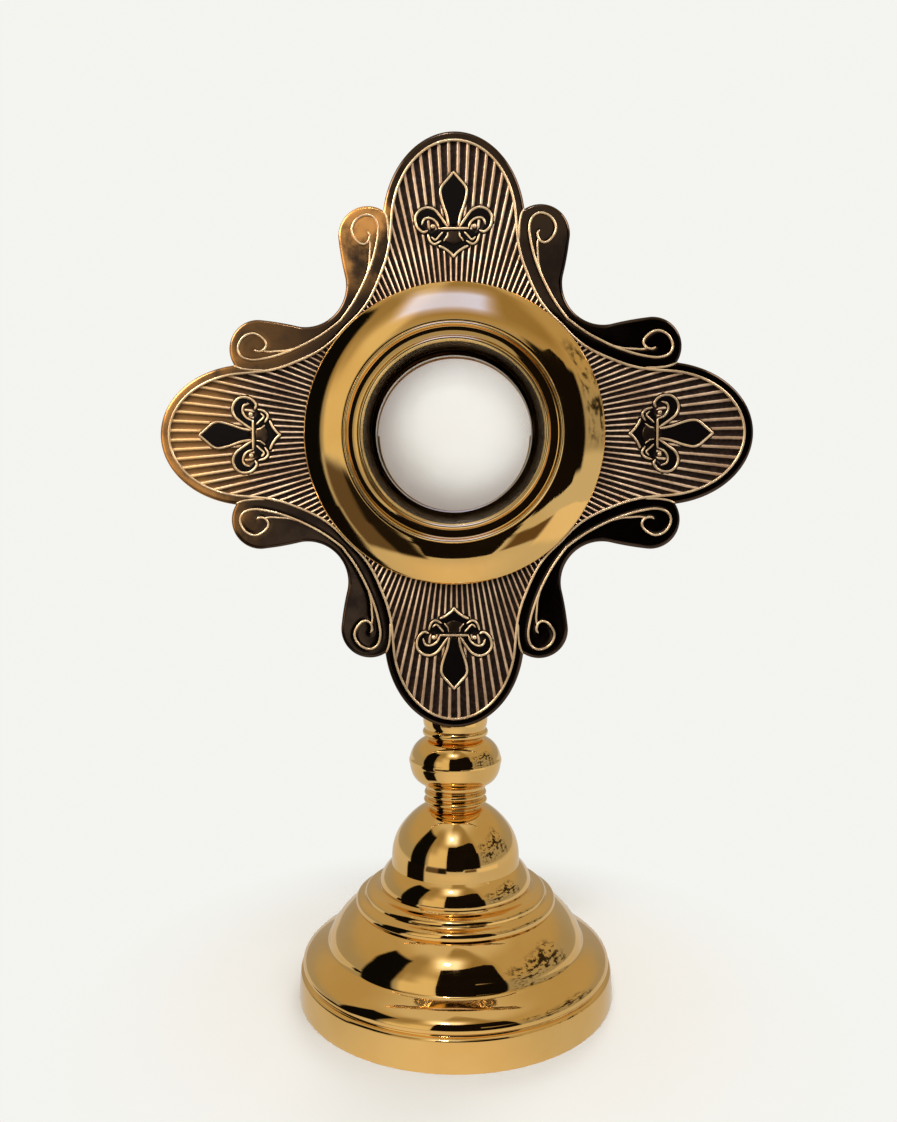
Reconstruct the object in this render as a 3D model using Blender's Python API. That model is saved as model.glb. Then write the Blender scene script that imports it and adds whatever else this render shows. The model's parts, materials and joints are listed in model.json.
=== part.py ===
"""A table-top monstrance in polished and antiqued brass.

A turned stem stands on a stepped, domed foot and carries a four-lobed glory
plate. A dished bezel with a glass window sits in the middle of the plate.
Behind it a U-shaped track holds the luna, a round glazed case for the host,
which lifts out upwards, and whose rear glazed lid opens on a hinge at the top.

Frame: metres, +Z up, the front of the glory faces -Y, and the origin is the
centre of the foot's underside, on the stem's axis. Sizes below are in
millimetres and are scaled when each mesh is finished.
"""

import math

import bmesh
import bpy
from mathutils import Vector

MM = 0.001

# ---------------------------------------------------------------- shared dimensions
GAP = 0.3                  # clearance left between neighbouring pieces
GLORY_Z = 260.2            # height of the glory's centre above the table
ROD_RADIUS = 3.0           # tie rod
BORE_RADIUS = 3.4          # hole for the tie rod
PLATE_FRONT = -18.5        # y of the plate's faces
PLATE_BACK = -15.5
MOUNT_FRONT = PLATE_BACK + GAP   # y where the post's tang and the track start
POST_SCREW_HEIGHTS = (163.0, 171.0)
POST_HOLE_RADIUS = 1.9
TRACK_HOLE_RADIUS = 1.8
SCREW_RING = 60.0          # radius of the ring of four track screws
SCREW_ANGLE = math.radians(24.7)  # above and below the horizontal, clear of the track's sides
TRACK_SCREWS = [           # (x, z) from the glory's centre
    (side * SCREW_RING * math.cos(SCREW_ANGLE), level * SCREW_RING * math.sin(SCREW_ANGLE))
    for side in (1, -1) for level in (1, -1)]
HINGE_Y = 3.2              # lid hinge axis, z from the glory's centre
HINGE_Z = 44.6
PIN_RADIUS = 0.85
PIN_HOLE_RADIUS = PIN_RADIUS + GAP

# ---------------------------------------------------------------- materials
MATERIALS = {
    "polished_brass": dict(colour=(0.80, 0.52, 0.18), metallic=1.0, roughness=0.12),
    "antiqued_brass": dict(colour=(0.30, 0.19, 0.09), metallic=0.9, roughness=0.38),
    "plain_brass": dict(colour=(0.72, 0.50, 0.22), metallic=1.0, roughness=0.28),
    "bare_steel": dict(colour=(0.45, 0.45, 0.46), metallic=1.0, roughness=0.4),
    "clear_glass": dict(colour=(0.95, 0.97, 0.97), metallic=0.0, roughness=0.03,
                        alpha=0.3, transmission=1.0),
    "green_felt": dict(colour=(0.05, 0.16, 0.08), metallic=0.0, roughness=0.95),
    "host_wafer": dict(colour=(0.90, 0.86, 0.80), metallic=0.0, roughness=0.7),
}


def new_material(name, colour, metallic, roughness, alpha=1.0, transmission=0.0):
    material = bpy.data.materials.new(name)
    material.use_nodes = True
    inputs = material.node_tree.nodes["Principled BSDF"].inputs
    inputs["Base Color"].default_value = (*colour, 1.0)
    inputs["Metallic"].default_value = metallic
    inputs["Roughness"].default_value = roughness
    inputs["Alpha"].default_value = alpha
    inputs["Transmission Weight"].default_value = transmission
    return material


def get_material(name):
    return bpy.data.materials.get(name) or new_material(name, **MATERIALS[name])


# ---------------------------------------------------------------- objects
def clear_scene():
    for item in list(bpy.data.objects):
        bpy.data.objects.remove(item)


def place(item, x, y, z):
    item.location = Vector((x, y, z)) * MM


def add_frame(name, location, parent=None):
    frame = bpy.data.objects.new(name, None)
    bpy.context.scene.collection.objects.link(frame)
    frame.empty_display_size = 0.02
    place(frame, *location)
    frame.parent = parent
    return frame


def add_solid(name, bm, parent, material_name=None, smooth=True):
    """Turns a bmesh in millimetres into an object under its parent frame."""
    bmesh.ops.remove_doubles(bm, verts=bm.verts, dist=1e-4)
    bmesh.ops.recalc_face_normals(bm, faces=bm.faces)
    bmesh.ops.scale(bm, vec=(MM, MM, MM), verts=bm.verts)
    mesh = bpy.data.meshes.new(name)
    bm.to_mesh(mesh)
    bm.free()
    if smooth:
        mesh.shade_smooth()
        mesh.set_sharp_from_angle(angle=math.radians(35))
    item = bpy.data.objects.new(name, mesh)
    bpy.context.scene.collection.objects.link(item)
    item.parent = parent
    if material_name:
        mesh.materials.append(get_material(material_name))
    return item


def combine(target, name, bm, operation):
    """Adds a hidden tool solid beside the target, and an exact Boolean that uses it."""
    tool = add_solid(name, bm, target.parent, smooth=False)
    tool.hide_render = True
    tool.display_type = "WIRE"
    modifier = target.modifiers.new(name, "BOOLEAN")
    modifier.operation = operation
    modifier.solver = "EXACT"
    modifier.object = tool
    return tool


def join(target, name, bm):
    return combine(target, name, bm, "UNION")


def cut(target, name, bm):
    return combine(target, name, bm, "DIFFERENCE")


def cut_holes(target, prefix, centres, radius, y0, y1):
    """Cuts a numbered hole along y at each (x, z)."""
    for number, (x, z) in enumerate(centres, 1):
        cut(target, f"{prefix}_{number}", rod_y(x, z, radius, y0, y1))


# ---------------------------------------------------------------- shapes
def skin(bm, rows, closed=False):
    """Joins each row of vertices to the next. An open run gets flat ends."""
    following = rows[1:] + rows[:1] if closed else rows[1:]
    for row, after in zip(rows, following):
        for j in range(len(row)):
            k = (j + 1) % len(row)
            # vertices on the axis are shared between rows, so a face may lose corners there
            corners = list(dict.fromkeys((row[j], row[k], after[k], after[j])))
            if len(corners) >= 3:
                bm.faces.new(corners)
    if not closed:
        bm.faces.new(rows[0])
        bm.faces.new(rows[-1][::-1])


def turned(outline, segs, axis="Z", sweep=None):
    """A closed outline of (radius, height) turned about Z, or about Y with height along y.
    sweep=(start, end) in degrees makes a partial ring with flat ends."""
    bm = bmesh.new()
    start, end = sweep or (0.0, 360.0)
    rows = []
    for i in range(segs + 1 if sweep else segs):
        angle = math.radians(start + (end - start) * i / segs)
        row = []
        for radius, height in outline:
            across, up = radius * math.cos(angle), radius * math.sin(angle)
            if radius < 1e-9 and rows:
                row.append(rows[0][len(row)])
            elif axis == "Z":
                row.append(bm.verts.new((across, up, height)))
            else:
                row.append(bm.verts.new((across, height, up)))
        rows.append(row)
    skin(bm, rows, closed=not sweep)
    return bm


def band(inner, outer, start, end):
    """A rectangular outline to turn, between two radii and two heights."""
    return [(inner, start), (outer, start), (outer, end), (inner, end)]


def with_bore(outline):
    """Closes an outer outline with the straight bore for the tie rod."""
    return outline + [(BORE_RADIUS, outline[-1][1]), (BORE_RADIUS, outline[0][1])]


def prism_y(outline, y0, y1):
    """A polygon of (x, z) extruded along y."""
    bm = bmesh.new()
    skin(bm, [[bm.verts.new((x, y, z)) for x, z in outline] for y in (y0, y1)])
    return bm


def prism_x(outline, x0, x1):
    """A polygon of (y, z) extruded along x."""
    bm = bmesh.new()
    skin(bm, [[bm.verts.new((x, y, z)) for y, z in outline] for x in (x0, x1)])
    return bm


def circle(across, up, radius, segs):
    angles = [2 * math.pi * i / segs for i in range(segs)]
    return [(across + radius * math.cos(a), up + radius * math.sin(a)) for a in angles]


def rod_y(x, z, radius, y0, y1, segs=14):
    return prism_y(circle(x, z, radius, segs), y0, y1)


def rod_x(radius, half_length, y=0.0, z=0.0):
    return prism_x(circle(y, z, radius, 18), -half_length, half_length)


def screw(head_radius, head_height, shank_radius, shank_length):
    """A cheese-head screw along Y, its chamfered head above y = 0 and its shank towards -y."""
    return turned([(0, head_height), (head_radius * 0.8, head_height),
                   (head_radius, head_height * 0.6), (head_radius, 0),
                   (shank_radius, 0), (shank_radius, -shank_length), (0, -shank_length)],
                  14, axis="Y")


# ---------------------------------------------------------------- foot and stem
# Profiles are (radius, height). Outer outlines run upwards, inner ones back down.
SKIRT_BORE = 71.6
FOOT_OUTER = [
    (73.4, 0.0), (72.9, 12.6), (71.0, 14.5),                              # skirt
    (71.7, 15.6), (71.2, 18.0), (68.4, 20.8), (61.4, 24.3),               # shoulder
    (59.6, 25.6), (58.4, 29.6), (54.8, 34.8), (50.0, 39.2), (46.2, 41.6)]  # dome
# The step at height 12.4 lies just above the ballast.
FOOT_INNER = [
    (20.0, 41.6), (20.0, 40.1), (45.0, 40.1), (52.8, 34.0), (57.2, 27.4), (58.2, 24.2),
    (67.0, 19.6), (69.4, 17.0), (69.4, 12.4), (SKIRT_BORE, 12.4), (SKIRT_BORE, 0.0)]
TIER_OUTER = [
    (46.4, 41.9), (46.9, 43.6), (45.2, 45.7), (42.8, 46.5), (42.1, 48.4), (40.2, 49.5),
    (36.8, 50.0),                                                         # two thin rings
    (35.6, 51.4), (34.9, 54.8), (32.9, 58.0), (30.2, 60.4)]               # ovolo
TIER_INNER = [
    (16.0, 60.4), (16.0, 58.9), (29.8, 58.9), (33.2, 54.4), (34.0, 50.4), (34.8, 48.4),
    (39.6, 47.7), (41.0, 45.2), (44.6, 43.4), (20.0, 43.4), (20.0, 41.9)]
BELL_OUTER = [
    (30.0, 60.7), (29.8, 67.0), (28.1, 73.2), (25.0, 78.5), (20.2, 83.5), (12.8, 87.4)]
BELL_INNER = [
    (BORE_RADIUS, 87.4), (BORE_RADIUS, 85.2), (13.8, 85.0), (19.6, 81.6), (23.8, 77.2),
    (26.8, 72.0), (28.4, 66.6), (28.4, 62.2), (16.0, 62.2), (16.0, 60.7)]
NECK = [
    (12.5, 87.7), (12.6, 88.7), (14.2, 89.5), (14.9, 90.5), (14.2, 91.5), (13.2, 92.2),
    (14.3, 93.2), (14.6, 94.1), (14.0, 95.1), (13.3, 95.8), (14.3, 96.8), (14.8, 98.2)]
KNOP = [
    (14.9, 98.5), (18.4, 100.4), (20.9, 105.0), (21.7, 109.3), (20.7, 113.4),
    (18.0, 117.2), (13.0, 119.8)]
COLLAR = [
    (12.8, 120.1), (14.9, 121.3), (15.3, 122.7), (14.6, 124.3), (15.1, 128.6),
    (14.0, 133.2), (12.8, 134.4)]

# Polished pieces from the table upwards: name, closed outline, segments.
STEM_PIECES = [
    ("foot_shell", FOOT_OUTER + FOOT_INNER, 40),
    ("tier_shell", TIER_OUTER + TIER_INNER, 36),
    ("bell_shell", BELL_OUTER + BELL_INNER, 32),
    ("neck_rings", with_bore(NECK), 24),
    ("knop", with_bore(KNOP), 28),
    ("stem_collar", with_bore(COLLAR), 24),
]


def build_stem(stand):
    for name, outline, segs in STEM_PIECES:
        add_solid(name, turned(outline, segs), stand, "polished_brass")


# ---------------------------------------------------------------- tie rod and base
ROD_OUTLINE = [(0, 3.4), (2.5, 3.4), (ROD_RADIUS, 3.9), (ROD_RADIUS, 138.4), (2.5, 138.9),
               (0, 138.9)]
BASE_OPENING = 9.0         # radius of the hole in the cover and the felt
BASE_RADIUS = SKIRT_BORE - GAP
FELT_RADIUS = 71.1
FELT_TOP = 1.6
COVER_BOTTOM = FELT_TOP + GAP
COVER_THICKNESS = 1.0
NUT_RADIUS = 6.0           # across the corners, halved
NUT_OPENING = BORE_RADIUS * 1.19   # widened so that the opening's flats clear the round rod
NUT_BOTTOM = 3.6
NUT_TOP = 6.1
WASHER_RADIUS = 9.0
WASHER_BOTTOM = NUT_TOP + GAP
WASHER_TOP = 7.7
BALLAST_BOTTOM = WASHER_TOP + GAP
BALLAST_TOP = 12.1


def build_base(stand):
    """The tie rod with its nut, washer and ballast, and the closure under the foot."""
    ballast = band(BORE_RADIUS, BASE_RADIUS, BALLAST_BOTTOM, BALLAST_TOP)
    washer = band(BORE_RADIUS, WASHER_RADIUS, WASHER_BOTTOM, WASHER_TOP)
    nut = band(NUT_OPENING, NUT_RADIUS, NUT_BOTTOM, NUT_TOP)
    cover = band(BASE_OPENING, BASE_RADIUS, COVER_BOTTOM, COVER_BOTTOM + COVER_THICKNESS)
    felt = band(BASE_OPENING, FELT_RADIUS, 0.0, FELT_TOP)
    add_solid("tie_rod", turned(ROD_OUTLINE, 16), stand, "bare_steel")
    add_solid("ballast_plate", turned(ballast, 40), stand, "bare_steel")
    add_solid("tie_washer", turned(washer, 24), stand, "bare_steel")
    add_solid("tie_nut", turned(nut, 6), stand, "bare_steel", smooth=False)
    add_solid("base_cover", turned(cover, 40), stand, "plain_brass")
    add_solid("felt_pad", turned(felt, 40), stand, "green_felt")


# ---------------------------------------------------------------- glory post
POST_OUTLINE = [(0, 134.7), (11.5, 134.7), (12.0, 135.2), (12.0, 138.3), (10.5, 139.7),
                (0, 139.7)]          # (radius, height)
TANG_BACK = -10.2          # y of the tang's rear face
TANG_OUTLINE = [(-8, 135.4), (8, 135.4), (8, 172), (5, 177), (-5, 177), (-8, 172)]   # (x, z)
WEB_HALF_WIDTH = 2.5
WEB_OUTLINE = [(-11.0, 136.0), (4.0, 136.0), (4.0, 139.9), (-5.0, 143.5), (-10.0, 158.0),
               (-11.0, 158.0)]       # (y, z)


def build_post(stand):
    """The post that joins the stem to the glory: a round base, an upright tang and a web."""
    post = add_solid("glory_post", turned(POST_OUTLINE, 28), stand, "plain_brass")
    join(post, "tool_post_tang", prism_y(TANG_OUTLINE, MOUNT_FRONT, TANG_BACK))
    join(post, "tool_post_web", prism_x(WEB_OUTLINE, -WEB_HALF_WIDTH, WEB_HALF_WIDTH))
    cut(post, "tool_post_bore", turned(band(0, BORE_RADIUS, 130, 139.2), 20))
    cut_holes(post, "tool_post_hole", [(0, z) for z in POST_SCREW_HEIGHTS],
              POST_HOLE_RADIUS, -16, -9)


def build_post_screws(stand):
    for number, z in enumerate(POST_SCREW_HEIGHTS, 1):
        bm = screw(head_radius=3.2, head_height=2.4, shank_radius=1.5, shank_length=6.8)
        item = add_solid(f"post_screw_{number}", bm, stand, "plain_brass")
        place(item, 0, TANG_BACK + GAP, z)


# ---------------------------------------------------------------- glory plate
# The outline is in (x, z) from the glory's centre. One octant is drawn and mirrored.
LOBE_TIP = 132.0           # centre of the glory to the tip of a lobe
LOBE_CENTRE = 92.0         # centre of the glory to the centre of the lobe's ellipse
LOBE_HALF_WIDTH = 31.5
CURL_CENTRE = (38.1, 87.3)
CURL_RADIUS = 13.0
THROAT_CENTRE = (66.0, 66.0)   # on the diagonal
THROAT_RADIUS = 18.2
PLATE_BORE = 42.0          # radius
NOTCH_STEP = 0.002         # radians, in the search for the notch
LOBE_STEPS = 13
CURL_STEPS = 9
THROAT_STEPS = 7


def lobe_point(angle):
    """A point on the upper lobe's edge; the angle is measured from the tip."""
    return (LOBE_HALF_WIDTH * math.sin(angle),
            LOBE_CENTRE + (LOBE_TIP - LOBE_CENTRE) * math.cos(angle))


def arc(centre, radius, start, end, steps):
    angles = [start + (end - start) * i / steps for i in range(steps + 1)]
    return [(centre[0] + radius * math.cos(a), centre[1] + radius * math.sin(a))
            for a in angles]


def octant():
    """The outline from the upper lobe's tip to the diagonal: lobe, curl head, throat."""
    notch = 0.0            # where the lobe meets the curl head
    while math.dist(lobe_point(notch), CURL_CENTRE) > CURL_RADIUS:
        notch += NOTCH_STEP
    lobe = [lobe_point(notch * i / LOBE_STEPS) for i in range(LOBE_STEPS + 1)]
    start = math.atan2(lobe[-1][1] - CURL_CENTRE[1], lobe[-1][0] - CURL_CENTRE[0])

    # the straight run is the inner tangent between the curl head and the throat
    dx, dz = THROAT_CENTRE[0] - CURL_CENTRE[0], THROAT_CENTRE[1] - CURL_CENTRE[1]
    lean = math.acos((CURL_RADIUS + THROAT_RADIUS) / math.hypot(dx, dz))
    leave = math.atan2(dz, dx) + lean
    curl = arc(CURL_CENTRE, CURL_RADIUS, start, leave, CURL_STEPS)
    throat = arc(THROAT_CENTRE, THROAT_RADIUS, leave + math.pi, math.radians(225.0),
                 THROAT_STEPS)
    return lobe + curl[1:] + throat


def glory_outline():
    one = octant()
    quarter = one + [(z, x) for x, z in reversed(one[:-1])]
    outline = []
    for k in range(4):
        turn = -math.pi / 2 * k
        cos, sin = math.cos(turn), math.sin(turn)
        outline += [(x * cos - z * sin, x * sin + z * cos) for x, z in quarter[:-1]]
    return outline


def build_plate(glory):
    plate = add_solid("glory_plate", prism_y(glory_outline(), PLATE_FRONT, PLATE_BACK),
                      glory, "antiqued_brass")
    cut(plate, "tool_plate_bore", rod_y(0, 0, PLATE_BORE, -30, 0, segs=44))
    cut_holes(plate, "tool_plate_hole", TRACK_SCREWS, TRACK_HOLE_RADIUS, -30, 0)
    # the post's screws enter from behind and stop inside the plate
    cut_holes(plate, "tool_plate_blind", [(0, z - GLORY_Z) for z in POST_SCREW_HEIGHTS],
              POST_HOLE_RADIUS, -17.4, -10)


# ---------------------------------------------------------------- bezel and window
DISH_RADIUS = 67.0
DISH_REAR = PLATE_FRONT - GAP    # y of the rim where it faces the plate
WINDOW_RADIUS = 34.3
WINDOW_SEAT = 38.2         # radius of the recess for the glass
# (radius, y): the convex front, two thin beads, and the funnel down to the window
DISH_FRONT = [
    (DISH_RADIUS, DISH_REAR), (DISH_RADIUS, -19.7), (60.0, -23.3), (53.5, -25.6),
    (49.0, -26.3), (47.6, -27.2), (46.0, -25.6), (43.0, -24.9), (41.3, -26.2), (40.0, -25.0),
    (34.9, -17.6), (WINDOW_RADIUS, -17.4)]
DISH_BACK = [
    (WINDOW_RADIUS, -16.7), (WINDOW_SEAT, -16.7), (WINDOW_SEAT, -13.8), (41.5, -13.8),
    (41.5, -23.4), (48.4, -24.6), (53.2, -24.1), (60.0, -21.8), (65.4, DISH_REAR)]
BOSS_RADIUS = 3.4
BOSS_FRONT = -21.4         # inside the dish's wall
WINDOW_GLASS_BACK = -14.6


def build_bezel(glory):
    """The dish, with four blind-drilled bosses behind it for the track screws."""
    bezel = add_solid("bezel", turned(DISH_FRONT + DISH_BACK, 44, axis="Y"), glory,
                      "polished_brass")
    for number, (x, z) in enumerate(TRACK_SCREWS, 1):
        join(bezel, f"tool_boss_{number}", rod_y(x, z, BOSS_RADIUS, BOSS_FRONT, DISH_REAR))
    cut_holes(bezel, "tool_boss_hole", TRACK_SCREWS, TRACK_HOLE_RADIUS, -20.6, -15)


def build_window(glory):
    radius = WINDOW_SEAT - GAP
    glass = band(0, radius, -16.4, WINDOW_GLASS_BACK)
    retainer = band(35.0, radius, WINDOW_GLASS_BACK + GAP, -13.5)
    add_solid("front_glass", turned(glass, 44, axis="Y"), glory, "clear_glass")
    add_solid("glass_retainer", turned(retainer, 44, axis="Y"), glory, "plain_brass")


# ---------------------------------------------------------------- luna track
TRACK_INNER = 45.5
TRACK_OUTER = 50.0
TRACK_LIP = 42.0           # the lip behind the luna reaches in to this radius
TRACK_TOP = 40.0           # above the glory's centre
TRACK_STEPS = 28
TRACK_SECTION = [          # (radius, y)
    (TRACK_OUTER, MOUNT_FRONT), (TRACK_OUTER, 0.3), (TRACK_LIP, 0.3), (TRACK_LIP, -1.1),
    (TRACK_INNER, -1.1), (TRACK_INNER, MOUNT_FRONT)]
EAR_ROOT = 47.5            # within the track's wall
EAR_HALF_WIDTH = 4.6       # also the reach beyond the screw's centre
EAR_NOSE = 2.4             # half width of the chamfered end
EAR_BACK = -13.2


def track_mesh():
    """The section swept round the luna's lower half and straight up both sides."""
    bm = bmesh.new()
    rows = [[bm.verts.new((r, y, TRACK_TOP)) for r, y in TRACK_SECTION]]
    for i in range(TRACK_STEPS + 1):
        angle = math.radians(-180.0 * i / TRACK_STEPS)
        rows.append([bm.verts.new((r * math.cos(angle), y, r * math.sin(angle)))
                     for r, y in TRACK_SECTION])
    rows.append([bm.verts.new((-r, y, TRACK_TOP)) for r, y in TRACK_SECTION])
    skin(bm, rows)
    return bm


def upper_ear(x, z):
    """An ear that runs level from the track's upright side to its screw."""
    side = math.copysign(1.0, x)
    root = side * EAR_ROOT
    shoulder = x + side * EAR_HALF_WIDTH * 0.6
    end = x + side * EAR_HALF_WIDTH
    return [(root, z - EAR_HALF_WIDTH), (shoulder, z - EAR_HALF_WIDTH), (end, z - EAR_NOSE),
            (end, z + EAR_NOSE), (shoulder, z + EAR_HALF_WIDTH), (root, z + EAR_HALF_WIDTH)]


def lower_ear(x, z):
    """An ear that runs radially from the track's round part to its screw."""
    ux, uz = x / SCREW_RING, z / SCREW_RING
    end = SCREW_RING + EAR_HALF_WIDTH
    outline = [             # (along the radius, across it)
        (EAR_ROOT, -EAR_HALF_WIDTH), (end - 2.0, -EAR_HALF_WIDTH), (end, -EAR_NOSE),
        (end, EAR_NOSE), (end - 2.0, EAR_HALF_WIDTH), (EAR_ROOT, EAR_HALF_WIDTH)]
    return [(ux * along - uz * across, uz * along + ux * across) for along, across in outline]


def build_track(glory):
    track = add_solid("luna_track", track_mesh(), glory, "plain_brass")
    for number, (x, z) in enumerate(TRACK_SCREWS, 1):
        outline = upper_ear(x, z) if z > 0 else lower_ear(x, z)
        join(track, f"tool_ear_{number}", prism_y(outline, MOUNT_FRONT, EAR_BACK))
    cut_holes(track, "tool_ear_hole", TRACK_SCREWS, TRACK_HOLE_RADIUS, -16, -12)


def build_track_screws(glory):
    for number, (x, z) in enumerate(TRACK_SCREWS, 1):
        bm = screw(head_radius=3.0, head_height=2.0, shank_radius=1.4, shank_length=7.1)
        item = add_solid(f"track_screw_{number}", bm, glory, "plain_brass")
        place(item, x, EAR_BACK + GAP, z)


# ---------------------------------------------------------------- luna
LUNA_RADIUS = 44.6
LUNA_FRONT = -13.0
LUNA_BACK = -1.6
LUNA_SEAT = 39.2           # radius of the glass seat, which is open towards the back
LUNA_SEAT_Y = -12.2
LUNA_GLASS_BACK = -10.1
LUNA_OUTLINE = [           # (radius, y)
    (LUNA_RADIUS - 0.6, LUNA_FRONT), (LUNA_RADIUS, LUNA_FRONT + 0.6),
    (LUNA_RADIUS, LUNA_BACK - 0.5), (LUNA_RADIUS - 0.5, LUNA_BACK), (LUNA_SEAT, LUNA_BACK),
    (LUNA_SEAT, LUNA_SEAT_Y), (35.6, LUNA_SEAT_Y), (35.6, LUNA_FRONT)]
ARM_INNER = 5.8            # x of the hinge arms' faces
ARM_OUTER = 10.0
ARM_OUTLINE = [            # (y, z)
    (-4.0, 42.2), (0.2, 43.3), (HINGE_Y + 0.4, 42.5), (HINGE_Y + 1.8, 43.4),
    (HINGE_Y + 2.2, HINGE_Z), (HINGE_Y + 1.5, HINGE_Z + 1.6), (HINGE_Y, HINGE_Z + 2.2),
    (-2.0, HINGE_Z + 1.8), (-4.0, 44.0)]
KNOB_Y = (LUNA_FRONT + LUNA_BACK) / 2
KNOB_OUTLINE = [           # (radius, height above the glory's centre)
    (0, 40.8), (1.4, 40.8), (1.4, 45.6), (2.4, 46.2), (2.4, 47.0), (1.5, 47.6), (2.6, 48.8),
    (3.3, 50.6), (2.9, 52.4), (1.6, 53.6), (0, 54.0)]
HOST_RADIUS = 35.0
GROOVE_RADIUS = HOST_RADIUS + 0.5
LUNULA_OUTLINE = [         # (radius, y), with a groove that the host stands in
    (38.8, -8.4), (38.8, -4.4), (34.0, -4.4), (34.0, -5.5), (GROOVE_RADIUS, -5.5),
    (GROOVE_RADIUS, -7.3), (34.0, -7.3), (34.0, -8.4)]
PIN_SHANK = ARM_OUTER + GAP      # half length between the pin's heads
PIN_END = 10.8
PIN_HEAD_RADIUS = 1.6
PIN_OUTLINE = [            # (radius, distance along the pin)
    (0, -PIN_END), (PIN_HEAD_RADIUS, -PIN_END), (PIN_HEAD_RADIUS, -PIN_SHANK),
    (PIN_RADIUS, -PIN_SHANK), (PIN_RADIUS, PIN_SHANK), (PIN_HEAD_RADIUS, PIN_SHANK),
    (PIN_HEAD_RADIUS, PIN_END), (0, PIN_END)]


def build_luna_ring(luna):
    """The round case that drops into the track, with two hinge arms at the top."""
    ring = add_solid("luna_ring", turned(LUNA_OUTLINE, 44, axis="Y"), luna, "plain_brass")
    join(ring, "tool_hinge_arm_1", prism_x(ARM_OUTLINE, ARM_INNER, ARM_OUTER))
    join(ring, "tool_hinge_arm_2", prism_x(ARM_OUTLINE, -ARM_OUTER, -ARM_INNER))
    cut(ring, "tool_ring_pin_hole", rod_x(PIN_HOLE_RADIUS, 12, y=HINGE_Y, z=HINGE_Z))
    knob_hole = cut(ring, "tool_knob_hole", turned(band(0, 1.8, 40, 50), 18))
    place(knob_hole, 0, KNOB_Y, 0)


def build_luna_glass(luna):
    radius = LUNA_SEAT - GAP
    glass = band(0, radius, LUNA_SEAT_Y + GAP, LUNA_GLASS_BACK)
    retainer = band(36.0, radius, LUNA_GLASS_BACK + GAP, -8.9)
    add_solid("luna_glass", turned(glass, 44, axis="Y"), luna, "clear_glass")
    add_solid("luna_retainer", turned(retainer, 44, axis="Y"), luna, "plain_brass")


def build_host(luna):
    """The host, and the lower half ring that holds it."""
    host = band(0, HOST_RADIUS, -6.9, -5.9)
    add_solid("host_disc", turned(host, 44, axis="Y"), luna, "host_wafer")
    clip = turned(LUNULA_OUTLINE, 22, axis="Y", sweep=(180.0, 360.0))
    add_solid("lunula_clip", clip, luna, "plain_brass")


def build_knob_and_pin(luna):
    knob = add_solid("lift_knob", turned(KNOB_OUTLINE, 20), luna, "plain_brass")
    place(knob, 0, KNOB_Y, 0)
    pin = add_solid("hinge_pin", turned(PIN_OUTLINE, 16), luna, "bare_steel")
    pin.rotation_euler = (0, math.radians(90), 0)
    place(pin, 0, HINGE_Y, HINGE_Z)


# ---------------------------------------------------------------- rear lid
# Round outlines are (radius, y) in the luna's frame; lid_turned moves them to the hinge's.
LID_RADIUS = 41.0
LID_SEAT = 37.9            # radius of the glass seat, open towards the front
LID_SEAT_Y = 1.8
LID_GLASS_FRONT = 0.1
LID_OUTLINE = [
    (LID_RADIUS, -1.3), (LID_RADIUS, 1.9), (LID_RADIUS - 0.8, 2.7), (35.0, 2.7),
    (35.0, LID_SEAT_Y), (LID_SEAT, LID_SEAT_Y), (LID_SEAT, -1.3)]
# (x, z) from the hinge
LEAF_OUTLINE = [(-5.0, -5.6), (5.0, -5.6), (5.0, -0.6), (-5.0, -0.6)]
# (x, z) from the luna's centre
TAB_OUTLINE = [(-5.0, -39.0), (5.0, -39.0), (5.0, -45.0), (3.0, -47.0), (-3.0, -47.0),
               (-5.0, -45.0)]


def lid_turned(outline):
    bm = turned([(radius, y - HINGE_Y) for radius, y in outline], 44, axis="Y")
    bmesh.ops.translate(bm, verts=bm.verts, vec=(0, 0, -HINGE_Z))
    return bm


def build_lid_ring(lid):
    """The lid's ring, with a hinge knuckle and leaf at the top and a tab at the bottom."""
    ring = add_solid("lid_ring", lid_turned(LID_OUTLINE), lid, "plain_brass")
    join(ring, "tool_lid_knuckle", rod_x(1.9, 5.4))
    join(ring, "tool_lid_leaf", prism_y(LEAF_OUTLINE, -2.6, -0.4))
    cut(ring, "tool_lid_pin_hole", rod_x(PIN_HOLE_RADIUS, 8))
    tab = [(x, z - HINGE_Z) for x, z in TAB_OUTLINE]
    join(ring, "tool_lid_tab", prism_y(tab, 1.1 - HINGE_Y, 2.5 - HINGE_Y))


def build_lid_glass(lid):
    radius = LID_SEAT - GAP
    glass = band(0, radius, LID_GLASS_FRONT, LID_SEAT_Y - GAP)
    retainer = band(35.2, radius, -1.1, LID_GLASS_FRONT - GAP)
    add_solid("lid_glass", lid_turned(glass), lid, "clear_glass")
    add_solid("lid_retainer", lid_turned(retainer), lid, "plain_brass")


# ---------------------------------------------------------------- build
def build():
    clear_scene()
    stand = add_frame("stand_frame", (0, 0, 0))
    glory = add_frame("glory_frame", (0, 0, GLORY_Z), stand)
    luna = add_frame("luna_frame", (0, 0, GLORY_Z), stand)
    lid = add_frame("lid_frame", (0, HINGE_Y, HINGE_Z), luna)

    build_stem(stand)
    build_base(stand)
    build_post(stand)
    build_post_screws(stand)

    build_plate(glory)
    build_bezel(glory)
    build_window(glory)
    build_track(glory)
    build_track_screws(glory)

    build_luna_ring(luna)
    build_luna_glass(luna)
    build_host(luna)
    build_knob_and_pin(luna)

    build_lid_ring(lid)
    build_lid_glass(lid)


build()
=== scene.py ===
import json
import math

import bmesh
import bpy
import numpy as np
from mathutils import Matrix, Vector

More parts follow.
